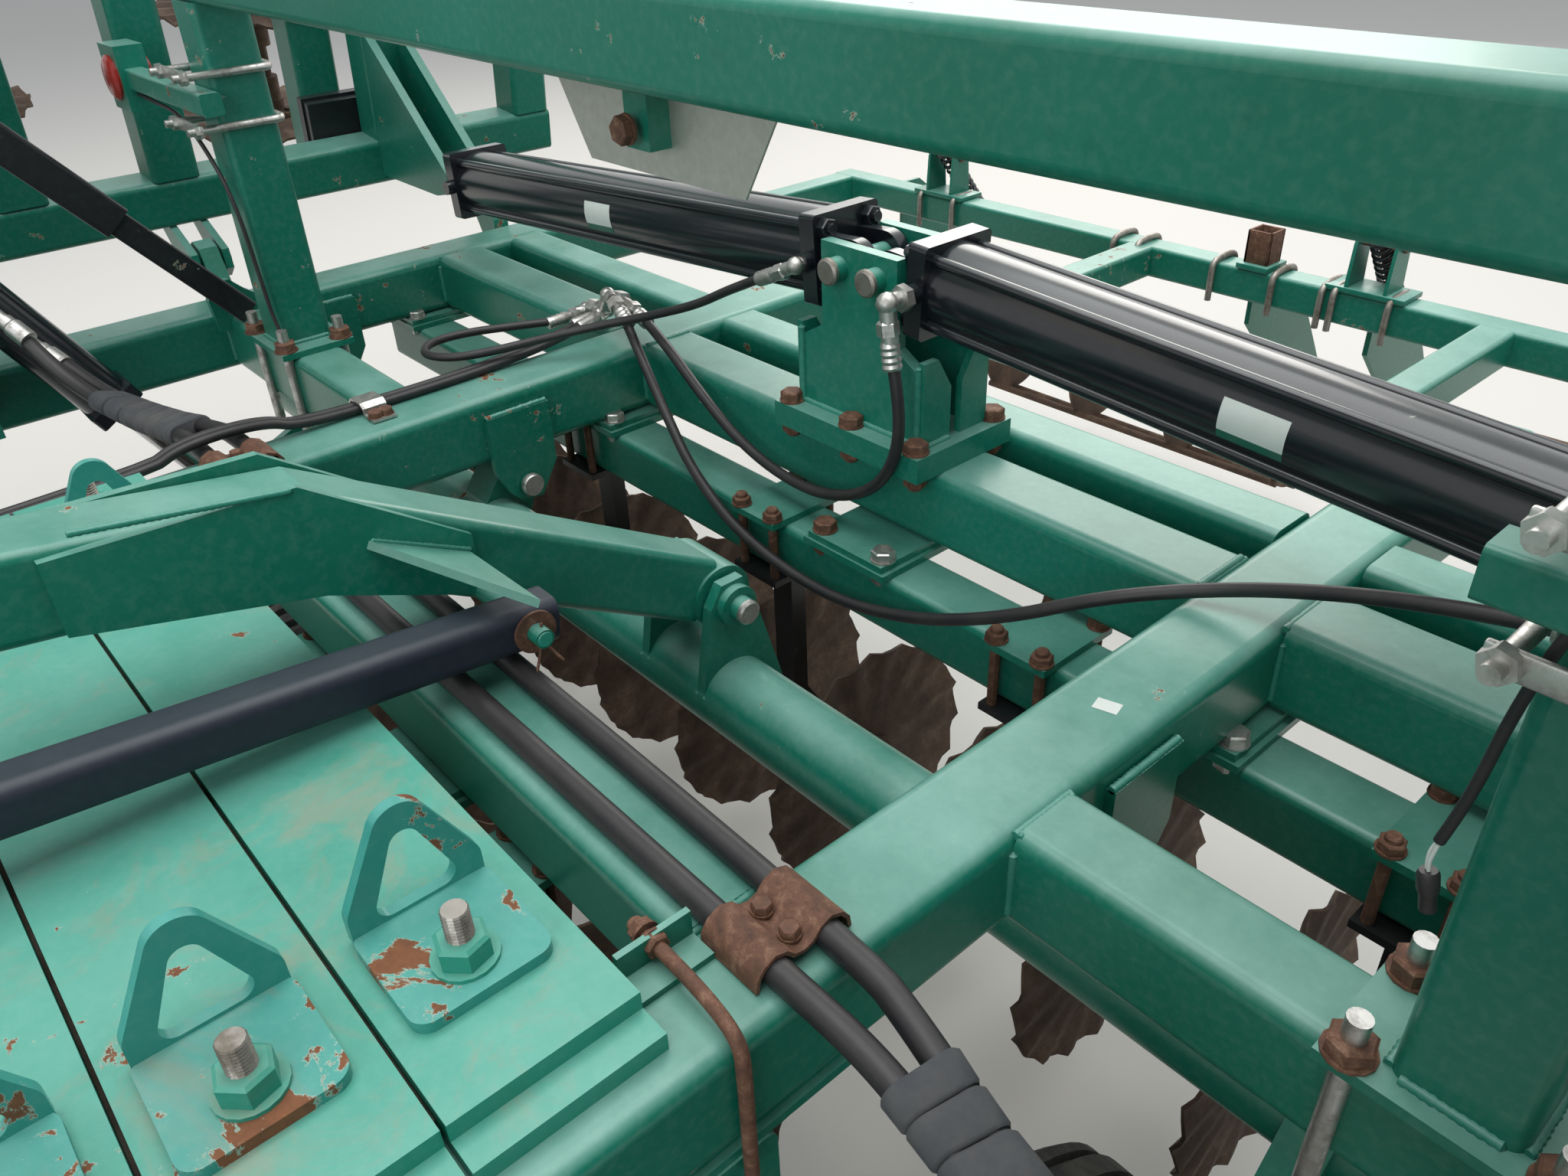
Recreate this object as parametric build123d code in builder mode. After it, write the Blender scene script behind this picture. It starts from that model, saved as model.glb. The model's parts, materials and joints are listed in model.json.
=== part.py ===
"""Folding vertical tillage tool, parked raised on its wheels and jack with both wings up.

Millimetres. The origin lies on the ground under the middle of the whole machine. The hitch
is at the -Y end, the machine's left side is +X, +Z is up. The layout below measures Y from
the main cross tube, and save() moves each finished piece to the origin.
"""
from build123d import *
from math import atan2, cos, hypot, radians, sin, tan
import os

os.makedirs("parts", exist_ok=True)

# Centre frame
frame_top = 1170.0          # top of the frame tubes above the ground
tube = 127.0                # square section of the main tubes
tube_round = 19.0
light_tube = 102.0          # square section of the lighter tubes
light_round = 14.0
rail_inner_x = 671.5        # middle of the inner rails
rail_outer_x = 1508.0       # middle of the outer rails
rail_front_y = -2350.0
rail_rear_y = 704.0
front_cross_y = -835.0      # cross tube over the front gang
main_cross_y = 0.0          # cross tube under the fold tower
stub_y = -525.0             # short cross tubes under the portal posts
mid_cross_y = 182.0
plate = 12.0                # common plate thickness
thick_plate = 20.0
joint_gap = 6.0             # side gap between moving plates
pin_play = 0.4              # radial play of the pins that turn

# Rockshaft, hung from pins under the rails, with leading wheel arms
rock_pivot_y = -355.0
rock_pivot_drop = 184.0     # pivot below the frame top
rock_pin_r = 19.0
rock_tube_r = 63.5
rock_tube_back = -60.0      # tube axis from the pivot
rock_tube_down = 91.0
rock_half = 1575.0
wheel_arm_x = 1043.0
wheel_arm_t = 50.0
axle_y = -759.0
axle_r = 30.0
tyre_r = 385.0
tyre_w = 230.0
wheel_gap = 18.0            # from the arm to each tyre
rim_r = 200.0
level_pin_back = -51.0      # level link pin from the rockshaft pivot
level_pin_up = 71.0
level_pin_r = 19.0
lug_inner = 62.0            # inner faces of the level link's twin lugs
lug_t = 18.0

# Lift cylinders
lift_x = 1375.0
lift_pin_y = -674.0
lift_pin_drop = 401.0
mast_pin_y = -1113.0
mast_pin_up = 327.0
mast_top_y = -1050.0
mast_top_up = 610.0
brace_foot_y = -571.0
brace_foot_up = 40.0
lift_barrel_r = 50.0
lift_cap = 106.0
lift_barrel_start = 60.0
lift_barrel_length = 450.0
lift_rod_r = 20.0
lift_bore_r = 42.0
lift_stroke = 198.0
lift_pin_r = 16.0
lift_eye_r = 30.0
eye_half = 22.0

# Fold tower and fold cylinders
tower_x = 324.0
tower_y = 216.0
tower_plate_y = 62.0        # middle of the upright plates
tower_pin_x = 40.0
tower_pin_up = 280.0        # above the frame top
fold_pin_r = 19.0
fold_cap = 140.0
cap_t = 32.0
port_r = 15.0
fold_barrel_r = 64.0
tie_rod_r = 9.0
fold_barrel_start = 56.0    # from the tower pin to the first cap
fold_rod_out = 83.0         # rod that shows with the wing up, to the middle of its eye
fold_rod_r = 25.0
fold_bore_r = 55.0
fold_eye_r = 34.0
clevis_y = 34.0             # middle of the barrel's clevis plates
rod_play = 0.3
piston_t = 40.0

# Portal
post_x = 1154.0
beam_up = 625.0             # bottom of the beam above the frame top
beam_over = 60.0            # beam past the posts
post_plate_x = 200.0
post_plate_y = 146.0
lamp_arm = 38.0
lamp_up = 470.0
sign_width = 410.0
sign_height = 356.0
sign_up = 510.0
sign_x = 92.0

# Wings, given unfolded
hinge_x = 1640.0
hinge_up = 60.0
hinge_ys = (-1500.0, -525.0, 182.0)
hinge_ear_t = 40.0
ear_pin_r = 19.0            # hinge pins of the wings and the tongue
fold_angle = 97.0           # how far each wing is folded up as parked
wing_inner_x = 1754.0       # middle of the wing's inner rail
wing_mid_x = 2870.0
wing_outer_x = 3990.0
wing_front_y = -2050.0
wing_rear_y = 430.0
wing_cross_ys = (-1999.0, -1500.0, -835.0, -525.0, 0.0, 379.0)
arm_pin_out = 155.0         # fold pin outboard of the hinge
arm_pin_above = 235.0       # fold pin above the hinge
fold_arm_gap = 31.0         # inner faces of the fold arm's plates

# Gangs
disc_r = 254.0
disc_t = 5.0
disc_lobes = 9
scallop = 9.0
disc_pitch = 283.0
axis_drop = 690.0           # disc axis below the frame top
axis_back = -45.0           # disc axis from its cross tube
bar_back = -110.0           # gang bar from its cross tube
bar_drop = 150.0            # top of the bar below the frame top
shaft_r = 19.0
shaft_over = 55.0
spool_r = 40.0
bearing_r = 55.0
bearing_length = 64.0
pad_half = 91.0
clamp_half = 55.0
clamp_deep = 78.0
outboard_front_y = -1640.0  # cross tube over the short gangs ahead of the wheels

# Weights
slab_pitch = 183.0
slab_gap = 5.0
slab_t = 20.0
slab_rear_y = -972.0
slab_rows = 7
slab_top_half = 663.0
slab_low_half = 697.0
eye_x = 450.0

# Tongue, level link and jack
tongue_pivot_y = -2410.0
tongue_pivot_drop = 64.0
tongue_lug_x = 500.0
tongue_lug_t = 46.0
tongue_cross_y = -2530.0
tongue_cross_half = 560.0
link_width = 102.0
link_depth = 100.0
knee_y = -955.0
knee_up = 213.0             # middle of the link at its knee
link_front_up = 436.0
upright_inner = 58.0
link_pin_r = 19.0
bar_x = 150.0               # lock bar beside the level link, and its two pins
bar_width = 58.0
bar_pin_r = 12.0
bar_rear_y = -774.0
bar_rear_z = 1236.0
bar_front_y = -1460.0
bar_front_z = 1310.0
hitch_y = -4950.0
hitch_z = 470.0
hitch_hole_r = 17.0
jack_y = -4150.0
jack_x = 165.0
jack_tube = 76.0
jack_leg = 60.0

# Hoses
hose_thin = 16.0
hose_mid = 19.0
hose_fat = 29.0

# Rear frame and reels
rear_tube = 76.0
rear_round = 10.0
rear_wall = 6.0
rear_cross_y = 1375.0
rear_drop = 80.0
rear_half = 1546.0
rear_rail_x = 430.0
reel_y = 1980.0
reel_z = 430.0
reel_r = 190.0
reel_bar_r = 11.0
reel_bars = 8
reel_inner_x = 110.0
reel_outer_x = 1380.0
reel_arm_t = 12.0
reel_spiders = 4
spider_in = 95.0            # outermost spiders from the ends of the reel

tube_mid = frame_top - tube / 2
tube_bottom = frame_top - tube
inner_gap = rail_inner_x - tube / 2      # face of the inner rail nearest the centreline
inner_far = rail_inner_x + tube / 2
outer_near = rail_outer_x - tube / 2
outer_far = rail_outer_x + tube / 2
hitch_end = 60.0                         # hitch plate past the middle of its hole
origin_ahead = -(hitch_y - hitch_end + reel_y + reel_r) / 2
sides = ((1, "left"), (-1, "right"))


def across(y, z, x):
    """Plane at x that faces +X, with its own x along Y and its own y along Z."""
    return Plane(origin=(x, y, z), x_dir=(0, 1, 0), z_dir=(1, 0, 0))


def along(x, z, y):
    """Plane at y that faces +Y, with its own x along X."""
    return Plane(origin=(x, y, z), x_dir=(1, 0, 0), z_dir=(0, 1, 0))


def tube_along_y(x, z, y0, y1, width, height, corner):
    with BuildSketch(along(x, z, y0)) as section:
        RectangleRounded(width, height, corner)
    extrude(section.sketch, amount=y1 - y0)


def tube_along_x(y, z, x0, x1, depth, height, corner):
    with BuildSketch(across(y, z, x0)) as section:
        RectangleRounded(depth, height, corner)
    extrude(section.sketch, amount=x1 - x0)


def tube_along_z(x, y, z0, z1, width, depth, corner):
    with BuildSketch(Plane(origin=(x, y, z0))) as section:
        RectangleRounded(width, depth, corner)
    extrude(section.sketch, amount=z1 - z0)


def beam(start, end, width, height, corner, mode=Mode.ADD):
    """Rounded tube from one point to another, its width level."""
    way = Vector(*end) - Vector(*start)
    level = Vector(0, 0, 1).cross(way).normalized()
    with BuildSketch(Plane(origin=start, x_dir=level, z_dir=way)) as section:
        RectangleRounded(width, height, corner)
    extrude(section.sketch, amount=way.length, mode=mode)


def round_along_x(y, z, x0, x1, radius, mode=Mode.ADD):
    with BuildSketch(across(y, z, x0)) as section:
        Circle(radius)
    extrude(section.sketch, amount=x1 - x0, mode=mode)


def round_along_y(x, z, y0, y1, radius, mode=Mode.ADD):
    with BuildSketch(along(x, z, y0)) as section:
        Circle(radius)
    extrude(section.sketch, amount=y1 - y0, mode=mode)


def round_along_z(x, y, z0, z1, radius, mode=Mode.ADD):
    with BuildSketch(Plane(origin=(x, y, z0))) as section:
        Circle(radius)
    extrude(section.sketch, amount=z1 - z0, mode=mode)


def plate_across(x0, x1, outline):
    """Plate between two x values, cut to an outline of (y, z) corners."""
    with BuildSketch(across(0, 0, x0)) as section:
        with BuildLine():
            Polyline(*outline, close=True)
        make_face()
    extrude(section.sketch, amount=x1 - x0)


def plate_along(y0, y1, outline):
    """Plate between two y values, cut to an outline of (x, z) corners."""
    with BuildSketch(Plane(origin=(0, y1, 0), x_dir=(1, 0, 0), z_dir=(0, -1, 0))) as section:
        with BuildLine():
            Polyline(*outline, close=True)
        make_face()
    extrude(section.sketch, amount=y1 - y0)


def block(x0, x1, y0, y1, z0, z1, mode=Mode.ADD):
    with BuildSketch(Plane(origin=((x0 + x1) / 2, (y0 + y1) / 2, z0))) as section:
        Rectangle(x1 - x0, y1 - y0)
    extrude(section.sketch, amount=z1 - z0, mode=mode)


def save(piece, name):
    piece.part = piece.part.moved(Location((0, origin_ahead, 0)))
    piece.part.label = name
    export_step(piece.part, f"parts/{name}.step")


# Rails
with BuildPart() as frame_rails:
    for x in (-rail_outer_x, -rail_inner_x, rail_inner_x, rail_outer_x):
        tube_along_y(x, tube_mid, rail_front_y, rail_rear_y, tube, tube, tube_round)
save(frame_rails, "frame_rails")

# Cross tubes, each butted between two rails; the short ones carry the lugs of the mast braces
brace_foot_z = frame_top + brace_foot_up
front_end_y = rail_front_y + tube / 2
rear_end_y = rail_rear_y - tube / 2
centre_crosses = ((front_end_y, tube), (front_cross_y, tube), (main_cross_y, tube),
                  (mid_cross_y, light_tube), (rear_end_y, tube))
side_crosses = ((front_end_y, tube), (outboard_front_y, tube), (stub_y, light_tube), (main_cross_y, tube),
                (mid_cross_y, light_tube), (rear_end_y, tube))
with BuildPart() as cross_tubes:
    for y, depth in centre_crosses:
        tube_along_x(y, tube_mid, -inner_gap, inner_gap, depth, tube, tube_round)
    for y, depth in side_crosses:
        tube_along_x(y, tube_mid, inner_far, outer_near, depth, tube, tube_round)
        tube_along_x(y, tube_mid, -outer_near, -inner_far, depth, tube, tube_round)
    for side, name in sides:
        x0, x1 = sorted((side * (lift_x + 31), side * (lift_x + 31 + thick_plate)))
        plate_across(x0, x1, [
            (stub_y - 51, frame_top - 30), (stub_y + 51, frame_top - 30), (stub_y + 51, frame_top + 8),
            (brace_foot_y + 40, brace_foot_z + 10), (brace_foot_y + 14, brace_foot_z + 36),
            (brace_foot_y - 20, brace_foot_z + 34), (brace_foot_y - 38, brace_foot_z), (brace_foot_y - 30, frame_top - 30)])
save(cross_tubes, "cross_tubes")

# Rockshaft hangers: an ear on each face of every rail, and a pin through both
pivot_z = frame_top - rock_pivot_drop
ear_outline = [(rock_pivot_y - 64, pivot_z + 148), (rock_pivot_y + 64, pivot_z + 148),
               (rock_pivot_y + 64, pivot_z + 30), (rock_pivot_y + 24, pivot_z - 34), (rock_pivot_y - 18, pivot_z - 32),
               (rock_pivot_y - 42, pivot_z - 6), (rock_pivot_y - 64, pivot_z + 40)]
with BuildPart() as rock_hangers:
    for x in (-rail_outer_x, -rail_inner_x, rail_inner_x, rail_outer_x):
        plate_across(x - tube / 2 - plate, x - tube / 2, ear_outline)
        plate_across(x + tube / 2, x + tube / 2 + plate, ear_outline)
        reach = tube / 2 + plate + 6
        round_along_x(rock_pivot_y, pivot_z, x - reach, x + reach, rock_pin_r)
save(rock_hangers, "rock_hangers")

# Fold tower on the main cross tube
tower_pin_z = frame_top + tower_pin_up
tower_base_top = frame_top + 2 * thick_plate
shoulder = tower_base_top + 115
tower_half = 127.0
tower_top_half = 80.0
tower_outline = [(-tower_half, tower_base_top), (tower_half, tower_base_top), (tower_half, shoulder),
                 (tower_top_half, shoulder + 27), (tower_top_half, tower_pin_z + 36),
                 (-tower_top_half, tower_pin_z + 36), (-tower_top_half, shoulder + 27), (-tower_half, shoulder)]
with BuildPart() as fold_tower:
    block(-tower_x / 2, tower_x / 2, -tower_y / 2, tower_y / 2, frame_top, tower_base_top)
    for y in (-tower_plate_y, tower_plate_y):
        plate_along(y - thick_plate / 2, y + thick_plate / 2, tower_outline)
    gusset_edge = tower_plate_y + thick_plate / 2
    for side, name in sides:
        x0, x1 = sorted((side * tower_half, side * (tower_half + plate)))
        for end in (-1, 1):
            plate_across(x0, x1, [
                (end * gusset_edge, tower_base_top), (end * gusset_edge, shoulder + 20),
                (end * (gusset_edge - 30), shoulder + 20), (end * 12, shoulder - 30), (end * 12, tower_base_top)])
    for x in (-tower_pin_x, tower_pin_x):
        round_along_y(x, tower_pin_z, -92, 92, fold_pin_r)
save(fold_tower, "fold_tower")

# Portal over the centre frame, with a lamp arm clamped to each post and a tab for the sign
lamp_y = stub_y - light_tube / 2 - lamp_arm / 2
sign_z = frame_top + sign_up
sign_y = stub_y + light_tube / 2 + 1
post_bottom = frame_top + plate
beam_bottom = frame_top + beam_up
beam_mid = beam_bottom + light_tube / 2
beam_half = post_x + light_tube / 2 + beam_over
with BuildPart() as portal_frame:
    tube_along_x(stub_y, beam_mid, -beam_half, beam_half, light_tube, light_tube, light_round)
    for x in (-post_x, post_x):
        tube_along_z(x, stub_y, post_bottom, beam_bottom, light_tube, light_tube, light_round)
        block(x - post_plate_x / 2, x + post_plate_x / 2, stub_y - post_plate_y / 2,
              stub_y + post_plate_y / 2, frame_top, post_bottom)
    for side, name in sides:
        z = frame_top + lamp_up
        x0, x1 = sorted((side * (post_x - 90), side * (post_x + 330)))
        tube_along_x(lamp_y, z, x0, x1, lamp_arm, lamp_arm, 5)
        x0, x1 = sorted((side * (post_x + 330), side * (post_x + 430)))
        block(x0, x1, lamp_y - 28, lamp_y + 28, z - 60, z + 60)
    block(sign_x - 22, sign_x + 22, sign_y - 30, sign_y, sign_z + 36, beam_bottom)
save(portal_frame, "portal_frame")

# Sign plate behind the beam, bolted to the tab
with BuildPart() as sign_plate:
    half = sign_width / 2
    plate_along(sign_y, sign_y + 3, [
        (sign_x - half * 0.72, sign_z), (sign_x + half * 0.72, sign_z), (sign_x + half, sign_z + 92),
        (sign_x + half * 0.22, sign_z + sign_height), (sign_x - half * 0.22, sign_z + sign_height),
        (sign_x - half, sign_z + 92)])
save(sign_plate, "sign_plate")

# Weights: two layers of slabs across the inner rails
with BuildPart() as weight_slabs:
    for row in range(slab_rows):
        y1 = slab_rear_y - row * slab_pitch
        y0 = y1 - slab_pitch + slab_gap
        block(-slab_low_half, slab_low_half, y0, y1, frame_top, frame_top + slab_t)
        block(-slab_top_half, slab_top_half, y0, y1, frame_top + slab_t, frame_top + 2 * slab_t)
save(weight_slabs, "weight_slabs")

# Lifting eyes on the upper slabs: a rounded foot and a rounded triangular loop
eye_t = 12.0
eye_foot_x = 132.0
eye_foot_y = 132.0
eye_high = 118.0
eye_round = 26.0
window_half = 45.0
with BuildPart() as slab_eyes:
    z0 = frame_top + 2 * slab_t
    for row in range(slab_rows):
        y = slab_rear_y - row * slab_pitch - slab_pitch / 2
        for side, name in sides:
            with BuildSketch(Plane(origin=(side * (eye_x + eye_foot_x / 2), y, z0))) as foot:
                RectangleRounded(eye_foot_x, eye_foot_y, 18)
            extrude(foot.sketch, amount=eye_t)
            with BuildSketch(across(y, z0 + eye_t / 2, side * (eye_x + 2) - eye_t / 2)) as upright:
                with BuildLine() as outer:
                    FilletPolyline((-eye_foot_y / 2 + 2, 0), (-eye_foot_y / 2 + 2, 30), (0, eye_high + 34),
                                   (eye_foot_y / 2 - 2, 30), (eye_foot_y / 2 - 2, 0), radius=eye_round)
                    Line((eye_foot_y / 2 - 2, 0), (-eye_foot_y / 2 + 2, 0))
                make_face()
                with BuildLine(mode=Mode.PRIVATE) as hole:
                    FilletPolyline((-window_half, 10), (window_half, 10), (0, eye_high - 4), radius=14, close=True)
                make_face(hole.edges(), mode=Mode.SUBTRACT)
            extrude(upright.sketch, amount=eye_t)
save(slab_eyes, "slab_eyes")

# Gangs: (name, cross tube y, disc stations, bearing places)
gang_top = frame_top - bar_drop
gang_mid = gang_top - light_tube / 2
axis_z = frame_top - axis_drop


def stations(first, count):
    return [first + disc_pitch * i for i in range(count)]


centre_gangs = (
    ("disc_gang_rear_right", main_cross_y, stations(-5 * disc_pitch, 6), (-2.5 * disc_pitch, -0.5 * disc_pitch)),
    ("disc_gang_rear_left", main_cross_y, stations(disc_pitch, 5), (1.5 * disc_pitch, 3.5 * disc_pitch)),
    ("disc_gang_front", front_cross_y, stations(-2.5 * disc_pitch, 6), (-disc_pitch, disc_pitch)),
    ("disc_gang_outer_right", outboard_front_y, stations(-4.5 * disc_pitch, 2), (-4 * disc_pitch,)),
    ("disc_gang_outer_left", outboard_front_y, stations(3.5 * disc_pitch, 2), (4 * disc_pitch,)),
)
centre_pads = [(main_cross_y, x) for x in (-rail_outer_x, -rail_inner_x, 65.0, rail_inner_x, rail_outer_x)]
centre_pads += [(front_cross_y, x) for x in (30 - rail_inner_x, 65.0, rail_inner_x - 30)]
centre_pads += [(outboard_front_y, x) for x in (-rail_outer_x, -rail_inner_x - 20, rail_inner_x + 20, rail_outer_x)]
centre_bars = ((main_cross_y, -1572.0, 1572.0), (front_cross_y, -735.0, 735.0),
               (outboard_front_y, 735.0, 1572.0), (outboard_front_y, -1572.0, -735.0))


def mounts(pads, depth, bottom, standards):
    """Two stacked pad plates from the frame to the gang bar, and the standards below the bar."""
    for cross_y, x in pads:
        near = cross_y + bar_back - light_tube / 2 - plate
        middle = (bottom + gang_top) / 2
        block(x - pad_half, x + pad_half, near, cross_y + depth / 2, gang_top, middle)
        block(x - pad_half + 8, x + pad_half - 8, near + 4, cross_y + depth / 2, middle, bottom)
    for x, cross_y in standards:
        bar_y = cross_y + bar_back
        shaft_y = cross_y + axis_back
        foot = gang_top - light_tube - plate
        if all(abs(x - pad_x) > pad_half + clamp_half for pad_y, pad_x in pads if pad_y == cross_y):
            block(x - clamp_half, x + clamp_half, bar_y - clamp_deep, bar_y + clamp_deep, gang_top, gang_top + plate)
        block(x - clamp_half, x + clamp_half, bar_y - clamp_deep, bar_y + clamp_deep, foot, foot + plate)
        plate_across(x - 25, x + 25, [
            (bar_y - 16, foot), (bar_y + 16, foot), (bar_y + 16, axis_z + 150), (shaft_y + 20, axis_z + 40),
            (shaft_y - 25, axis_z + 40), (bar_y - 16, axis_z + 120)])
        round_along_x(shaft_y, axis_z, x - bearing_length / 2, x + bearing_length / 2, bearing_r)
        round_along_x(shaft_y, axis_z, x - bearing_length, x + bearing_length, shaft_r + rod_play, Mode.SUBTRACT)


def gang(places, bearings, cross_y):
    """Scalloped discs on one shaft, with spools between them that leave room for the bearings."""
    shaft_y = cross_y + axis_back
    first, last = places[0], places[-1]
    round_along_x(shaft_y, axis_z, first - shaft_over, last + shaft_over, shaft_r)
    for x in places:
        rim = []
        for i in range(2 * disc_lobes):
            r = disc_r - (scallop if i % 2 else 0)
            turn = radians(i * 180 / disc_lobes + 10)
            rim.append((shaft_y + r * cos(turn), axis_z + r * sin(turn)))
        plate_across(x - disc_t / 2, x + disc_t / 2, rim)
    room = bearing_length / 2 + joint_gap
    ends = [first - shaft_over + 12]
    for x in places[:-1]:
        ends += [x]
        ends += [edge for b in bearings if x < b < x + disc_pitch for edge in (b - room, b + room)]
        ends += [x + disc_pitch]
    ends = [ends[0], first] + ends[1:] + [last, last + shaft_over - 12]
    for x0, x1 in zip(ends[::2], ends[1::2]):
        with BuildSketch(across(shaft_y, axis_z, x0)) as section:
            RegularPolygon(spool_r, 8)
        extrude(section.sketch, amount=x1 - x0)


with BuildPart() as gang_bars:
    for cross_y, x0, x1 in centre_bars:
        tube_along_x(cross_y + bar_back, gang_mid, x0, x1, light_tube, light_tube, light_round)
save(gang_bars, "gang_bars")

with BuildPart() as gang_mounts:
    mounts(centre_pads, tube, tube_bottom, [(x, row[1]) for row in centre_gangs for x in row[3]])
save(gang_mounts, "gang_mounts")

for name, cross_y, places, bearings in centre_gangs:
    with BuildPart() as disc_gang:
        gang(places, bearings, cross_y)
    save(disc_gang, name)

# Rockshaft: tube, hanger lugs, wheel arms with their axles, lift levers, level link lugs
tube_y = rock_pivot_y + rock_tube_back
tube_z = pivot_z - rock_tube_down
axle_z = tyre_r
lift_pin_z = frame_top - lift_pin_drop
level_pin_y = rock_pivot_y + level_pin_back
level_pin_z = pivot_z + level_pin_up
axle_half = wheel_arm_t / 2 + wheel_gap + tyre_w + 6
with BuildPart() as rockshaft:
    round_along_x(tube_y, tube_z, -rock_half, rock_half, rock_tube_r)
    for x in (-rail_outer_x, -rail_inner_x, rail_inner_x, rail_outer_x):
        plate_across(x - 40, x + 40, [
            (tube_y - 40, tube_z + 30), (rock_pivot_y - 30, pivot_z + 36), (rock_pivot_y + 22, pivot_z + 40),
            (rock_pivot_y + 42, pivot_z - 8), (tube_y + 52, tube_z - 30)])
        round_along_x(rock_pivot_y, pivot_z, x - 41, x + 41, rock_pin_r + pin_play, Mode.SUBTRACT)
    for side, name in sides:
        x = side * wheel_arm_x
        plate_across(x - wheel_arm_t / 2, x + wheel_arm_t / 2, [
            (tube_y + 58, tube_z + 40), (tube_y - 30, tube_z + 85), (axle_y - 62, axle_z + 30),
            (axle_y - 40, axle_z - 45), (axle_y + 35, axle_z - 50), (tube_y + 70, tube_z - 30)])
        round_along_x(axle_y, axle_z, x - axle_half, x + axle_half, axle_r)
        for offset in (-eye_half - joint_gap - thick_plate / 2, eye_half + joint_gap + thick_plate / 2):
            xl = side * lift_x + offset
            plate_across(xl - thick_plate / 2, xl + thick_plate / 2, [
                (tube_y + 40, tube_z + 55), (lift_pin_y - 10, lift_pin_z + 40), (lift_pin_y - 40, lift_pin_z + 6),
                (lift_pin_y - 22, lift_pin_z - 38), (tube_y + 50, tube_z - 45)])
        x0, x1 = sorted((side * lug_inner, side * (lug_inner + lug_t)))
        plate_across(x0, x1, [
            (tube_y - 62, tube_z), (level_pin_y - 42, level_pin_z + 4), (level_pin_y - 20, level_pin_z + 38),
            (level_pin_y + 20, level_pin_z + 38), (level_pin_y + 46, level_pin_z - 30), (tube_y + 96, tube_z - 12),
            (tube_y + 40, tube_z - 58), (tube_y - 30, tube_z - 58)])
        x0, x1 = sorted((side * (lug_inner + lug_t), side * (lug_inner + lug_t + 14)))
        round_along_x(level_pin_y, level_pin_z, x0, x1, 32)
    round_along_x(level_pin_y, level_pin_z, -104, 110, level_pin_r)
save(rockshaft, "rockshaft")

# Transport wheels, a pair on each arm: each tyre and rim is turned about its own axle
tyre_half = tyre_w / 2
for side, name in sides:
    places = [side * wheel_arm_x + s * (wheel_arm_t / 2 + wheel_gap + tyre_half) for s in (-1, 1)]
    with BuildPart() as tyres:
        for x in places:
            with BuildSketch(along(x, axle_z, axle_y)) as section:
                with BuildLine():
                    Polyline((-85, rim_r), (-tyre_half + 6, rim_r + 30), (-tyre_half, rim_r + 80),
                             (-tyre_half + 4, tyre_r - 60), (-tyre_half + 32, tyre_r - 12), (-50, tyre_r),
                             (50, tyre_r), (tyre_half - 32, tyre_r - 12), (tyre_half - 4, tyre_r - 60),
                             (tyre_half, rim_r + 80), (tyre_half - 6, rim_r + 30), (85, rim_r), close=True)
                make_face()
            revolve(section.sketch, axis=Axis((x, axle_y, axle_z), (1, 0, 0)))
    save(tyres, f"tyres_{name}")
    with BuildPart() as rims:
        for x in places:
            out = 1 if x > side * wheel_arm_x else -1
            bore = axle_r + rod_play
            with BuildSketch(along(x, axle_z, axle_y)) as section:
                with BuildLine():
                    Polyline((-100 * out, bore), (70 * out, bore), (70 * out, 58), (30 * out, 70), (30 * out, 150),
                             (60 * out, rim_r - 14), (85 * out, rim_r - 14), (85 * out, rim_r), (-85 * out, rim_r),
                             (-85 * out, rim_r - 14), (14 * out, rim_r - 30), (14 * out, 70), (-100 * out, 58),
                             close=True)
                make_face()
            revolve(section.sketch, axis=Axis((x, axle_y, axle_z), (1, 0, 0)))
    save(rims, f"rims_{name}")

# Lift masts on the outer rails: foot, twin plates, cylinder pin and brace back to the stub tube
mast_pin_z = frame_top + mast_pin_up
mast_top_z = frame_top + mast_top_up
mast_plate = 14.0
mast_plate_in = 62.0
brace_way = Vector(0, mast_top_y - brace_foot_y, mast_top_z - brace_foot_z)
with BuildPart() as lift_masts:
    for side, name in sides:
        x = side * lift_x
        x0, x1 = sorted((side * (lift_x - 45), side * outer_near))
        block(x0, x1, -1225, -1060, frame_top - 95, frame_top)
        block(x - 84, x + 84, -1235, -1050, frame_top, frame_top + plate)
        for inner in (-mast_plate_in - mast_plate, mast_plate_in):
            plate_across(x + inner, x + inner + mast_plate, [
                (-1225, frame_top + plate), (-1055, frame_top + plate), (mast_pin_y + 62, mast_pin_z),
                (mast_top_y + 45, mast_top_z + 10), (mast_top_y + 20, mast_top_z + 42),
                (mast_top_y - 20, mast_top_z + 42), (mast_top_y - 50, mast_top_z), (mast_pin_y - 62, mast_pin_z)])
        round_along_x(mast_pin_y, mast_pin_z, x - 86, x + 86, lift_pin_r)
        for collar in (-mast_plate_in, eye_half + joint_gap):
            round_along_x(mast_pin_y, mast_pin_z, x + collar, x + collar + mast_plate_in - eye_half - joint_gap, 28)
        round_along_x(mast_top_y, mast_top_z, x - 86, x + 86, lift_pin_r)
save(lift_masts, "lift_masts")

with BuildPart() as mast_braces:
    for side, name in sides:
        x = side * lift_x
        step = 0.36
        low = Vector(x, brace_foot_y, brace_foot_z)
        start = low - brace_way.normalized() * 32
        middle = low + brace_way * step
        end = low + brace_way + brace_way.normalized() * 26
        beam(tuple(start), tuple(middle + brace_way.normalized() * 20), 60, 50, 6)
        beam(tuple(middle), tuple(end), 76, 66, 8)
        round_along_x(mast_top_y, mast_top_z, x - 90, x + 90, lift_pin_r + 1, Mode.SUBTRACT)
save(mast_braces, "mast_braces")

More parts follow.
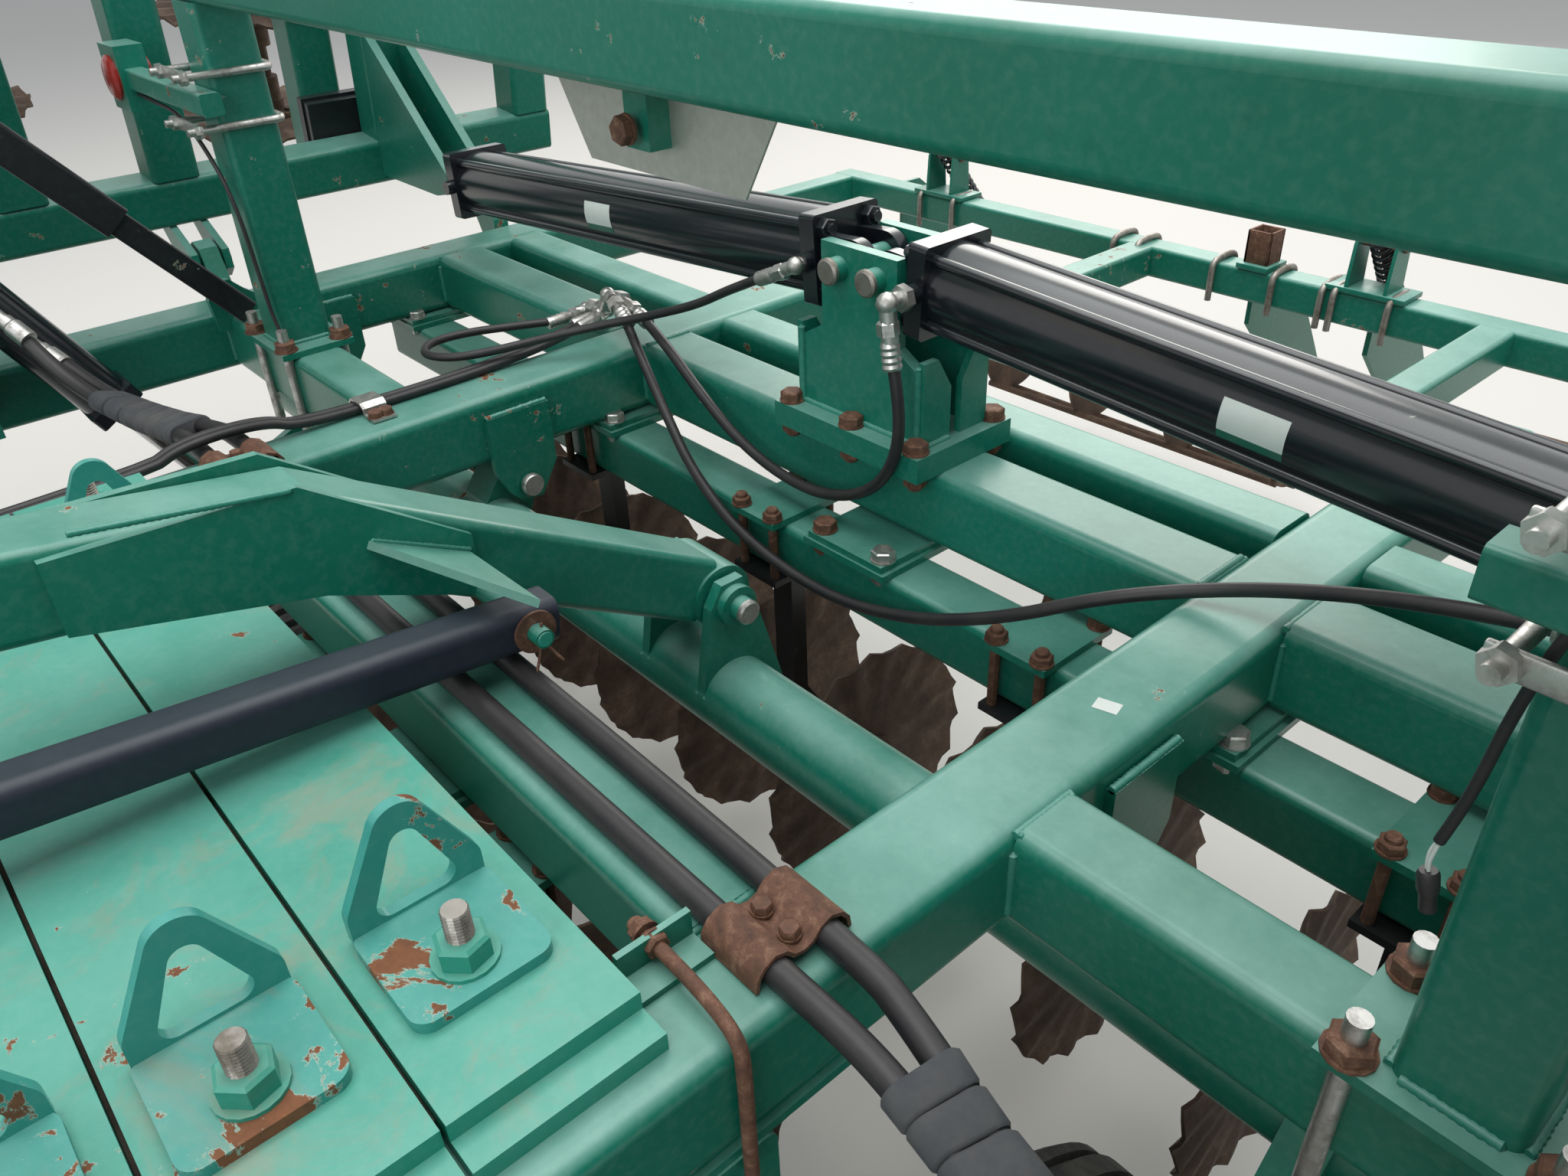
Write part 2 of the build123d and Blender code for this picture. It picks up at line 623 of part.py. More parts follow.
# Cylinders: (name, base pin, way to the rod's eye, length between them, across the barrel)
fold_pin_x = hinge_x + arm_pin_out * cos(radians(fold_angle)) - arm_pin_above * sin(radians(fold_angle))
fold_pin_z = (frame_top + hinge_up + arm_pin_out * sin(radians(fold_angle))
              + arm_pin_above * cos(radians(fold_angle)))
fold_length = hypot(fold_pin_x - tower_pin_x, fold_pin_z - tower_pin_z)
fold_barrel_length = fold_length - fold_barrel_start - fold_rod_out
fold_tilt = atan2(fold_pin_z - tower_pin_z, fold_pin_x - tower_pin_x)
lift_length = hypot(lift_pin_y - mast_pin_y, lift_pin_z - mast_pin_z)
lift_tilt = atan2(lift_pin_z - mast_pin_z, lift_pin_y - mast_pin_y)


def rod_piece(line, start, length, rod_r, bore_r, eye_r, half, stub):
    """Rod with its piston, its eye and the short pin in the eye, along the line of its cylinder."""
    for r, reach in ((rod_r, length - eye_r * 0.6 - start), (bore_r - rod_play, piston_t)):
        with BuildSketch(line.offset(start)) as section:
            Circle(r)
        extrude(section.sketch, amount=reach)
    eye = line.offset(length)
    for reach, r in ((half, eye_r), (stub, eye_r * 0.55)):
        with BuildSketch(Plane(origin=eye.origin - eye.x_dir * reach, x_dir=eye.z_dir, z_dir=eye.x_dir)) as ring:
            Circle(r)
        extrude(ring.sketch, amount=2 * reach)


for side, name in sides:
    line = Plane(origin=(side * tower_pin_x, 0, tower_pin_z), x_dir=(0, 1, 0),
                 z_dir=(side * cos(fold_tilt), 0, sin(fold_tilt)))
    head = fold_barrel_start + fold_barrel_length
    tie_at = fold_cap / 2 - 22
    with BuildPart() as fold_barrel:
        with BuildSketch(line.offset(fold_barrel_start)) as body:
            Circle(fold_barrel_r)
        extrude(body.sketch, amount=fold_barrel_length)
        for start in (fold_barrel_start, head - cap_t):
            with BuildSketch(line.offset(start)) as cap:
                RectangleRounded(fold_cap, fold_cap, 8)
            extrude(cap.sketch, amount=cap_t)
        with BuildSketch(line.offset(fold_barrel_start - 8)) as ties:
            with GridLocations(2 * tie_at, 2 * tie_at, 2, 2):
                Circle(tie_rod_r)
        extrude(ties.sketch, amount=fold_barrel_length + 20)
        for y in (-clevis_y, clevis_y):
            pin_plane = Plane(origin=(side * tower_pin_x, y - 10, tower_pin_z), x_dir=line.z_dir, z_dir=(0, 1, 0))
            with BuildSketch(pin_plane) as clevis:
                Circle(36)
                with Locations((fold_barrel_start / 2, 0)):
                    Rectangle(fold_barrel_start, 72)
            extrude(clevis.sketch, amount=20)
        round_along_y(side * tower_pin_x, tower_pin_z, -70, 70, fold_pin_r + pin_play, Mode.SUBTRACT)
        for start in (fold_barrel_start, head - cap_t):
            port = line.origin + line.z_dir * (start + cap_t / 2)
            round_along_y(port.X, port.Z, -fold_cap / 2 - 16, -fold_cap / 2 + 4, port_r)
        for r, start, reach in ((fold_bore_r, fold_barrel_start + cap_t, fold_barrel_length - 2 * cap_t),
                                (fold_rod_r + rod_play, head - cap_t - 1, cap_t + 40)):
            with BuildSketch(line.offset(start)) as bore:
                Circle(r)
            extrude(bore.sketch, amount=reach, mode=Mode.SUBTRACT)
    save(fold_barrel, f"fold_barrel_{name}")
    with BuildPart() as fold_rod:
        rod_piece(line, fold_barrel_start + cap_t + 12, fold_length, fold_rod_r, fold_bore_r, fold_eye_r, 24, 29)
    save(fold_rod, f"fold_rod_{name}")

    line = Plane(origin=(side * lift_x, mast_pin_y, mast_pin_z), x_dir=(1, 0, 0),
                 z_dir=(0, cos(lift_tilt), sin(lift_tilt)))
    head = lift_barrel_start + lift_barrel_length
    with BuildPart() as lift_barrel:
        with BuildSketch(line.offset(lift_barrel_start)) as body:
            Circle(lift_barrel_r)
        extrude(body.sketch, amount=lift_barrel_length)
        for start in (lift_barrel_start, head - cap_t):
            with BuildSketch(line.offset(start)) as cap:
                RectangleRounded(lift_cap, lift_cap, 8)
            extrude(cap.sketch, amount=cap_t)
        x = side * lift_x
        base = Plane(origin=(x - eye_half, mast_pin_y, mast_pin_z), x_dir=line.z_dir, z_dir=(1, 0, 0))
        with BuildSketch(base) as clevis:
            Circle(lift_eye_r)
            with Locations((lift_barrel_start / 2, 0)):
                Rectangle(lift_barrel_start, 2 * lift_eye_r)
        extrude(clevis.sketch, amount=2 * eye_half)
        round_along_x(mast_pin_y, mast_pin_z, x - 40, x + 40, lift_pin_r + pin_play, Mode.SUBTRACT)
        for r, start, reach in ((lift_bore_r, lift_barrel_start + cap_t, lift_barrel_length - 2 * cap_t),
                                (lift_rod_r + rod_play, head - cap_t - 1, cap_t + 40)):
            with BuildSketch(line.offset(start)) as bore:
                Circle(r)
            extrude(bore.sketch, amount=reach, mode=Mode.SUBTRACT)
    save(lift_barrel, f"lift_barrel_{name}")
    with BuildPart() as lift_rod:
        rod_piece(line, lift_barrel_start + cap_t + 12 + lift_stroke, lift_length, lift_rod_r, lift_bore_r,
                  lift_eye_r, eye_half, eye_half + 4)
    save(lift_rod, f"lift_rod_{name}")

# Ears on the frame for the wings and the tongue, with their pins
hinge_z = frame_top + hinge_up
tongue_pivot_z = frame_top - tongue_pivot_drop
with BuildPart() as hinge_ears:
    for side, name in sides:
        for y in hinge_ys:
            plate_along(y - hinge_ear_t / 2, y + hinge_ear_t / 2, [
                (side * outer_far, frame_top - 112), (side * (outer_far + 26), frame_top - 112),
                (side * (hinge_x + 42), hinge_z - 14), (side * (hinge_x + 34), hinge_z + 30),
                (side * (hinge_x + 4), hinge_z + 45), (side * (hinge_x - 30), hinge_z + 34),
                (side * outer_far, frame_top + 16)])
            round_along_y(side * hinge_x, hinge_z, y - 48, y + 48, ear_pin_r)
        for inner in (455.0, 529.0):
            x0, x1 = sorted((side * inner, side * (inner + 16)))
            plate_across(x0, x1, [
                (rail_front_y, tongue_pivot_z + 54), (rail_front_y, tongue_pivot_z - 54),
                (tongue_pivot_y - 22, tongue_pivot_z - 40), (tongue_pivot_y - 44, tongue_pivot_z),
                (tongue_pivot_y - 22, tongue_pivot_z + 40)])
        x0, x1 = sorted((side * 448, side * 552))
        round_along_x(tongue_pivot_y, tongue_pivot_z, x0, x1, ear_pin_r)
save(hinge_ears, "hinge_ears")

# Wings: drawn unfolded on the left, turned up about their hinge and mirrored
fold_axis = Axis((hinge_x, 0, hinge_z), (0, 1, 0))
wing_mid = frame_top - light_tube / 2
wing_bottom = frame_top - light_tube
wing_face = wing_inner_x - light_tube / 2
wing_end = wing_outer_x + light_tube / 2


def save_wing(flat, name):
    with BuildPart() as left:
        add(flat.part.rotate(fold_axis, -fold_angle))
    with BuildPart() as right:
        mirror(left.part, about=Plane.YZ)
    save(left, f"{name}_left")
    save(right, f"{name}_right")


with BuildPart() as flat:
    for x in (wing_inner_x, wing_mid_x, wing_outer_x):
        tube_along_y(x, wing_mid, wing_front_y, wing_rear_y, light_tube, light_tube, light_round)
save_wing(flat, "wing_rails")

with BuildPart() as flat:
    for y in wing_cross_ys:
        for x0, x1 in ((wing_inner_x, wing_mid_x), (wing_mid_x, wing_outer_x)):
            tube_along_x(y, wing_mid, x0 + light_tube / 2, x1 - light_tube / 2, light_tube, light_tube, light_round)
save_wing(flat, "wing_cross_tubes")

arm_pin_x = hinge_x + arm_pin_out
arm_pin_z = hinge_z + arm_pin_above
with BuildPart() as flat:
    for y in hinge_ys:
        for near in (-42, 26):
            plate_along(y + near, y + near + 16, [
                (wing_face, frame_top - 92), (wing_face, frame_top - 6), (hinge_x + 30, hinge_z + 34),
                (hinge_x - 12, hinge_z + 42), (hinge_x - 42, hinge_z + 10), (hinge_x - 30, hinge_z - 32)])
        round_along_y(hinge_x, hinge_z, y - 60, y + 60, ear_pin_r + pin_play, Mode.SUBTRACT)
    for near in (-fold_arm_gap - thick_plate, fold_arm_gap):
        plate_along(near, near + thick_plate, [
            (arm_pin_x - 40, arm_pin_z - 20), (arm_pin_x - 20, arm_pin_z + 38), (arm_pin_x + 25, arm_pin_z + 38),
            (arm_pin_x + 260, frame_top), (wing_inner_x - 30, frame_top)])
save_wing(flat, "wing_hinges")

wing_rear = ([1698.0 + disc_pitch * i for i in range(9)], (2122.5, 2971.5, 3820.5), main_cross_y)
wing_front = ([1557.0 + disc_pitch * i for i in range(9)], (1981.5, 2830.5, 3679.5), front_cross_y)
wing_pads = [(y, x) for y in (main_cross_y, front_cross_y) for x in (1800.0, 2560.0, 3400.0, 3985.0)]
with BuildPart() as flat:
    for y in (main_cross_y, front_cross_y):
        tube_along_x(y + bar_back, gang_mid, wing_face, wing_end, light_tube, light_tube, light_round)
save_wing(flat, "wing_gang_bars")

with BuildPart() as flat:
    mounts(wing_pads, light_tube, wing_bottom, [(x, row[2]) for row in (wing_rear, wing_front) for x in row[1]])
save_wing(flat, "wing_gang_mounts")

for row, end in ((wing_rear, "rear"), (wing_front, "front")):
    with BuildPart() as flat:
        gang(*row)
    save_wing(flat, f"wing_disc_gang_{end}")

# Tongue: cross tube with its lugs and the level link's uprights, two converging sides, drawbar
link_front_z = frame_top + link_front_up
side_half = 470.0
side_front = Vector(75, -3700, 702)
drawbar_rear = (0, -3600, 735)
drawbar_front = (0, -4770, 478)
with BuildPart() as tongue:
    tube_along_x(tongue_cross_y, tongue_pivot_z, -tongue_cross_half, tongue_cross_half, tube, tube, tube_round)
    for side, name in sides:
        x0, x1 = sorted((side * (tongue_lug_x - tongue_lug_t / 2), side * (tongue_lug_x + tongue_lug_t / 2)))
        plate_across(x0, x1, [
            (tongue_cross_y + tube / 2, tongue_pivot_z - 50), (tongue_pivot_y + 16, tongue_pivot_z - 42),
            (tongue_pivot_y + 44, tongue_pivot_z), (tongue_pivot_y + 16, tongue_pivot_z + 42),
            (tongue_cross_y + tube / 2, tongue_pivot_z + 50)])
        round_along_x(tongue_pivot_y, tongue_pivot_z, x0 - 1, x1 + 1, ear_pin_r + pin_play, Mode.SUBTRACT)
        x0, x1 = sorted((side * upright_inner, side * (upright_inner + 16)))
        plate_across(x0, x1, [
            (tongue_cross_y - 62, tongue_pivot_z + 55), (tongue_cross_y + 58, tongue_pivot_z + 55),
            (tongue_pivot_y + 26, link_front_z - 60), (tongue_pivot_y + 48, link_front_z),
            (tongue_pivot_y + 30, link_front_z + 45), (tongue_pivot_y - 30, link_front_z + 45),
            (tongue_pivot_y - 60, link_front_z - 30)])
    round_along_x(tongue_pivot_y, link_front_z, -80, 80, 26, Mode.SUBTRACT)
    block(-upright_inner, upright_inner, tongue_cross_y - 58, tongue_cross_y - 42, frame_top - 6, frame_top + 250)
save(tongue, "tongue")

with BuildPart() as tongue_sides:
    for side, name in sides:
        rear = (side * side_half, tongue_cross_y - 20, tongue_pivot_z - 5)
        beam(rear, (side * side_front.X, side_front.Y, side_front.Z), light_tube, tube, light_round)
    block(-tongue_cross_half, tongue_cross_half, tongue_cross_y - tube / 2, tongue_cross_y + tube,
          tongue_pivot_z - 2 * tube, tongue_pivot_z + 2 * tube, Mode.SUBTRACT)
    beam(drawbar_rear, drawbar_front, light_tube, tube, 1, Mode.SUBTRACT)
save(tongue_sides, "tongue_sides")

with BuildPart() as drawbar:
    beam(drawbar_rear, drawbar_front, light_tube, tube, light_round)
    block(-60, 60, hitch_y - hitch_end, -4700, hitch_z - 18, hitch_z + 18)
    round_along_z(0, hitch_y, hitch_z - 40, hitch_z + 40, hitch_hole_r, Mode.SUBTRACT)
save(drawbar, "drawbar")

# Level link: two tubes that meet at a knee between a lap plate and two gussets
knee_z = frame_top + knee_up
rear_way = Vector(0, knee_y - level_pin_y, knee_z - level_pin_z).normalized()
front_way = Vector(0, tongue_pivot_y - knee_y, link_front_z - knee_z).normalized()
eye = Vector(0, level_pin_y, level_pin_z)
knee = Vector(0, knee_y, knee_z)
front = Vector(0, tongue_pivot_y, link_front_z)
with BuildPart() as level_link:
    beam(tuple(eye + rear_way * 30), tuple(knee + rear_way * 10), link_width, link_depth, 12)
    beam(tuple(knee - front_way * 10), tuple(front - front_way * 20), link_width, link_depth, 12)
    for side, name in sides:
        x0, x1 = sorted((side * (link_width / 2 - 2), side * (link_width / 2 + 10)))
        plate_across(x0, x1, [
            tuple(p)[1:] for p in (
                knee - rear_way * 210 + Vector(0, 0, 42), knee + Vector(0, 0, 66), knee + front_way * 250 + Vector(0, 0, 40),
                knee + front_way * 250 - Vector(0, 0, 44), knee - Vector(0, 0, 70), knee - rear_way * 210 - Vector(0, 0, 44))])
    round_along_x(level_pin_y, level_pin_z, -lug_inner + joint_gap, lug_inner - joint_gap, 50)
    round_along_x(tongue_pivot_y, link_front_z, -link_width / 2, link_width / 2, 50)
    round_along_x(level_pin_y, level_pin_z, -lug_inner, lug_inner, level_pin_r + pin_play, Mode.SUBTRACT)
    round_along_x(tongue_pivot_y, link_front_z, -82, 82, link_pin_r)
    gusset_root = Vector(link_width / 2 + 8, -897, 1360)
    gusset_edge = Vector(0, 115, -62)
    gusset_way = Vector(218, -779, 1300) - gusset_root
    gusset = Plane(origin=gusset_root, x_dir=gusset_edge, z_dir=gusset_way.cross(gusset_edge) * -1)
    tip = gusset.to_local_coords(gusset_root + gusset_way)
    with BuildSketch(gusset) as gusset_face:
        with BuildLine():
            Polyline((0, 0), (gusset_edge.length, 0), (tip.X, tip.Y), close=True)
        make_face()
    extrude(gusset_face.sketch, amount=10)
    plate_across(link_width / 2, link_width / 2 + plate, [
        (bar_front_y - 45, bar_front_z - 26), (bar_front_y + 30, bar_front_z - 26), (bar_front_y + 40, bar_front_z + 190),
        (bar_front_y - 55, bar_front_z + 200)])
    for y, z in ((bar_rear_y, bar_rear_z), (bar_front_y, bar_front_z)):
        round_along_x(y, z, link_width / 2 - 4, bar_x + bar_width / 2 + 24, bar_pin_r)
save(level_link, "level_link")

# Bar stowed on two pins at the left of the level link
with BuildPart() as lock_bar:
    bar_way = Vector(0, bar_front_y - bar_rear_y, bar_front_z - bar_rear_z).normalized()
    bar_rear = Vector(bar_x, bar_rear_y, bar_rear_z) - bar_way * 34
    bar_front = Vector(bar_x, bar_front_y, bar_front_z) + bar_way * 34
    beam(tuple(bar_rear), tuple(bar_front), bar_width, bar_width, 16)
    for y, z in ((bar_rear_y, bar_rear_z), (bar_front_y, bar_front_z)):
        round_along_x(y, z, bar_x - bar_width, bar_x + bar_width, bar_pin_r + pin_play, Mode.SUBTRACT)
save(lock_bar, "lock_bar")

# Jack on the left of the drawbar
with BuildPart() as jack_tube_piece:
    tube_along_z(jack_x, jack_y, 340, 920, jack_tube, jack_tube, 8)
    block(light_tube / 2, jack_x - jack_tube / 2 + 4, jack_y - 45, jack_y + 45, 575, 665)
    with BuildSketch(Plane(origin=(jack_x, jack_y, 330))) as bore:
        Rectangle(jack_leg + 1, jack_leg + 1)
    extrude(bore.sketch, amount=578, mode=Mode.SUBTRACT)
save(jack_tube_piece, "jack_tube")
with BuildPart() as jack_leg_piece:
    with BuildSketch(Plane(origin=(jack_x, jack_y, 12))) as section:
        Rectangle(jack_leg, jack_leg)
    extrude(section.sketch, amount=508)
    block(jack_x - 100, jack_x + 100, jack_y - 75, jack_y + 75, 0, 12)
save(jack_leg_piece, "jack_leg")

# Rear frame, with the arms of the finishing reels
rear_mid = frame_top - rear_drop - rear_tube / 2
with BuildPart() as rear_frame:
    tube_along_x(rear_cross_y, rear_mid, -rear_half, rear_half, rear_tube, rear_tube, rear_round)
    for x in (-rail_outer_x, -rear_rail_x, rear_rail_x, rail_outer_x):
        tube_along_y(x, rear_mid, rail_rear_y, rear_cross_y - rear_tube / 2 + 4, rear_tube, rear_tube, rear_round)
    clear = rear_tube - 2 * rear_wall
    with BuildSketch(across(rear_cross_y, rear_mid, -rear_half)) as inside:
        Rectangle(clear, clear)
    extrude(inside.sketch, amount=2 * rear_half, mode=Mode.SUBTRACT)
    for x in (-rail_outer_x, -rear_rail_x, rear_rail_x, rail_outer_x):
        with BuildSketch(along(x, rear_mid, rail_rear_y)) as inside:
            Rectangle(clear, clear)
        extrude(inside.sketch, amount=rear_cross_y - rear_tube / 2 - rail_rear_y, mode=Mode.SUBTRACT)
save(rear_frame, "rear_frame")

arm_places = [side * x for side, name in sides for x in (reel_inner_x + 40, reel_outer_x - 50)]
with BuildPart() as reel_arms:
    for x in arm_places:
        plate_across(x - reel_arm_t / 2, x + reel_arm_t / 2, [
            (rear_cross_y + rear_tube / 2, rear_mid + 30), (rear_cross_y + rear_tube / 2, rear_mid - 120),
            (reel_y - 52, reel_z + 10), (reel_y - 20, reel_z - 48), (reel_y + 30, reel_z - 44),
            (reel_y + 52, reel_z + 20), (rear_cross_y + 300, rear_mid - 110), (rear_cross_y + 110, rear_mid + 30)])
        round_along_x(reel_y, reel_z, x - 22, x + 22, 42)
        round_along_x(reel_y, reel_z, x - 30, x + 30, 20 + rod_play, Mode.SUBTRACT)
save(reel_arms, "reel_arms")

for side, name in sides:
    with BuildPart() as reel:
        x0, x1 = sorted((side * reel_inner_x, side * reel_outer_x))
        round_along_x(reel_y, reel_z, x0, x1, 20)
        first = reel_inner_x + spider_in
        pitch = (reel_outer_x - spider_in - first) / (reel_spiders - 1)
        for k in range(reel_spiders):
            x = side * (first + k * pitch)
            round_along_x(reel_y, reel_z, x - 3, x + 3, reel_r - 14)
        x0, x1 = sorted((side * (first - 12), side * (reel_outer_x - spider_in + 12)))
        for k in range(reel_bars):
            turn = radians(360 * k / reel_bars)
            round_along_x(reel_y + (reel_r - reel_bar_r) * cos(turn), reel_z + (reel_r - reel_bar_r) * sin(turn),
                          x0, x1, reel_bar_r)
    save(reel, f"reel_{name}")

# Free hoses: (name, diameter, points), straight runs joined by wide arcs
free_hoses = (
    ("hose_loop", hose_mid, (
        (122, -124, 1368), (140, -124, 1300), (136, -124, 1212), (82, -122, 1133), (-24, -120, 1084),
        (-143, -116, 1077), (-270, -110, 1104), (-390, -100, 1160), (-500, -84, 1212), (-590, -66, 1232))),
    ("hose_long", hose_mid, (
        (-612, -92, 1228), (-540, -112, 1178), (-455, -130, 1104), (-330, -170, 1042), (-155, -205, 992),
        (60, -208, 968), (245, -204, 1010), (410, -196, 1090), (535, -150, 1164), (655, -72, 1196),
        (790, -72, 1252), (905, -82, 1292), (1010, -92, 1322), (1110, -104, 1338), (1200, -110, 1350))),
    ("hose_far", hose_thin, (
        (-196, -98, 1406), (-290, -88, 1364), (-400, -76, 1308), (-520, -84, 1262), (-620, -140, 1232),
        (-690, -236, 1212), (-716, -322, 1206), (-752, -392, 1202), (-812, -420, 1200), (-866, -384, 1198),
        (-872, -308, 1196), (-840, -220, 1194), (-802, -134, 1192))),
)


def hose(points, diameter):
    """Tube along the points; returns its smallest bend radius."""
    radii = []
    for before, corner, after in zip(points, points[1:], points[2:]):
        near = Vector(*corner) - Vector(*before)
        far = Vector(*after) - Vector(*corner)
        half_turn = radians(near.get_angle(far)) / 2
        radii.append(0.45 * min(near.length, far.length) / tan(half_turn))
    with BuildLine(mode=Mode.PRIVATE) as route:
        FilletPolyline(*points, radius=radii)
    with BuildSketch(Plane(origin=points[0], z_dir=Vector(*points[1]) - Vector(*points[0]))) as section:
        Circle(diameter / 2)
    sweep(section.sketch, path=route.line)
    return min(radii)


for name, diameter, points in free_hoses:
    with BuildPart() as free_hose:
        print(name, "smallest bend", round(hose(points, diameter)))
    save(free_hose, name)

# Clamped hoses: a fat pair over the front cross tube from one lift cylinder to the other, and a
# thin pair from the tees along the right inner rail. Each fat one is given by its left half.
fat_z = frame_top + hose_fat / 2 + 0.4
thin_z = frame_top + hose_thin / 2 + 0.4
fat_halves = (
    ((742, -862, fat_z), (820, -866, fat_z - 9), (905, -880, 1163), (1030, -900, 1150), (1145, -925, 1165),
     (1235, -955, 1215), (1290, -985, 1288)),
    ((742, -796, fat_z), (825, -801, fat_z - 7), (915, -822, 1166), (1040, -848, 1150), (1150, -880, 1152),
     (1235, -912, 1180), (1296, -944, 1222)),
)
with BuildPart() as clamped_hoses:
    for half in fat_halves:
        mirrored = [(-x, y, z) for x, y, z in reversed(half)]
        print("fat hose, smallest bend", round(hose(mirrored + list(half), hose_fat)))
    for x in (-708, -726):
        hose(((x - 26, -112, 1196), (x, -230, thin_z + 1), (x - 1, -700, thin_z), (x, -760, thin_z + 32),
              (x, -898, thin_z + 33), (x, -958, thin_z + 1), (x - 1, -2290, thin_z)), hose_thin)
save(clamped_hoses, "clamped_hoses")
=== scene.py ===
import bpy, bmesh, json
from math import atan2, cos, hypot, pi, radians, sin
from mathutils import Matrix, Vector, noise


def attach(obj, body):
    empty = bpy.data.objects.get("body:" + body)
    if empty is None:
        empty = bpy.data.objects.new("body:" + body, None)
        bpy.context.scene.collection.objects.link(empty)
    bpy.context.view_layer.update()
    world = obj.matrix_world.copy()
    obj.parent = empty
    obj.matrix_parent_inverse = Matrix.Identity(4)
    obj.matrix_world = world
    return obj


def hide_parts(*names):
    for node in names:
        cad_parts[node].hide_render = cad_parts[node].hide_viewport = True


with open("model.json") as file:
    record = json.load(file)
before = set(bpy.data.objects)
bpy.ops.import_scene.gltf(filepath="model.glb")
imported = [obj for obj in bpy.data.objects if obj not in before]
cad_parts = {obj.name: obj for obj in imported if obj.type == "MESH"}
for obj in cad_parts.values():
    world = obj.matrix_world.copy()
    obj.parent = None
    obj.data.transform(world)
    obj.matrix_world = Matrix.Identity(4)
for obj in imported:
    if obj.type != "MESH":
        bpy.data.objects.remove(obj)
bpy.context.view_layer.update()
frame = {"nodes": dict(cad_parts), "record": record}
nodes = frame["nodes"]
print("frame loaded,", len(nodes), "nodes")

# sizes shared with the frame in layout mm: x to the left, y rearward from the main cross tube, z from the ground
mainTubeY = 1.42  # where the layout's y starts, in the frame's metres
frameTop = 1170
tubeHalf = 63.5
innerRail, outerRail = 671.5, 1508
mainY, middleY, frontY, stubY = 0, -835, -1640, -525
postX = 1154
sides = {"left": 1, "right": -1}
across, rearward, upwards = Vector((1, 0, 0)), Vector((0, 1, 0)), Vector((0, 0, 1))


def place(x, y, z):
    # layout mm to the frame's metres
    return Vector((x / 1000, y / 1000 + mainTubeY, z / 1000))


# material helpers
def startMaterial(name, roughness=0.5, metallic=0.0):
    material = bpy.data.materials.new(name)
    material.use_nodes = True
    shader = material.node_tree.nodes["Principled BSDF"]
    shader.inputs["Roughness"].default_value = roughness
    shader.inputs["Metallic"].default_value = metallic
    return material, material.node_tree, shader


def objectCoords(tree):
    return tree.nodes.new("ShaderNodeTexCoord").outputs["Object"]


def noiseOf(tree, vector, scale, detail=4, roughness=0.55, distortion=0.0):
    texture = tree.nodes.new("ShaderNodeTexNoise")
    texture.inputs["Scale"].default_value = scale
    texture.inputs["Detail"].default_value = detail
    texture.inputs["Roughness"].default_value = roughness
    texture.inputs["Distortion"].default_value = distortion
    tree.links.new(vector, texture.inputs["Vector"])
    return texture.outputs["Fac"]


def rampOf(tree, value, stops):
    ramp = tree.nodes.new("ShaderNodeValToRGB")
    while len(ramp.color_ramp.elements) < len(stops):
        ramp.color_ramp.elements.new(0.5)
    for element, (position, color) in zip(ramp.color_ramp.elements, stops):
        element.position = position
        element.color = (*color, 1)
    tree.links.new(value, ramp.inputs["Fac"])
    return ramp.outputs["Color"]


def maskOf(tree, value, low, high, gain=1.0):
    remap = tree.nodes.new("ShaderNodeMapRange")
    remap.inputs["From Min"].default_value = low
    remap.inputs["From Max"].default_value = high
    remap.inputs["To Max"].default_value = gain
    tree.links.new(value, remap.inputs["Value"])
    return remap.outputs["Result"]


def mathOf(tree, kind, a, b):
    node = tree.nodes.new("ShaderNodeMath")
    node.operation = kind
    for socket, value in zip(node.inputs, (a, b)):
        if hasattr(value, "links"):
            tree.links.new(value, socket)
        else:
            socket.default_value = value
    return node.outputs["Value"]


def mixOf(tree, amount, a, b):
    mix = tree.nodes.new("ShaderNodeMix")
    mix.data_type = "RGBA"
    for socket, value in ((mix.inputs[0], amount), (mix.inputs[6], a), (mix.inputs[7], b)):
        if hasattr(value, "links"):
            tree.links.new(value, socket)
        else:
            socket.default_value = value if not hasattr(value, "__len__") else (*value[:3], 1)
    return mix.outputs[2]


def bumpOf(tree, shader, height, strength, distance):
    bump = tree.nodes.new("ShaderNodeBump")
    bump.inputs["Strength"].default_value = strength
    bump.inputs["Distance"].default_value = distance
    tree.links.new(height, bump.inputs["Height"])
    tree.links.new(bump.outputs["Normal"], shader.inputs["Normal"])


def upward(tree):
    # 1 on faces that look up, where dust lies and the paint has faded, and where a pale tint paints the sky's light on
    # the tops
    geometry = tree.nodes.new("ShaderNodeNewGeometry")
    split = tree.nodes.new("ShaderNodeSeparateXYZ")
    tree.links.new(geometry.outputs["Normal"], split.inputs["Vector"])
    return maskOf(tree, split.outputs["Z"], 0.55, 0.95)


# colours that every painted finish shares; dust is a pale cyan that is partly painted sky light on up-facing faces
wear = {
    "haze": (0.6, 0.72, 0.66), "dust": (0.36, 0.60, 0.53), "stain": (0.30, 0.24, 0.17), "primer": (0.33, 0.45, 0.37),
    "darkRust": (0.060, 0.024, 0.012), "paleRust": (0.26, 0.10, 0.04), "black": (0.012, 0.012, 0.013),
}


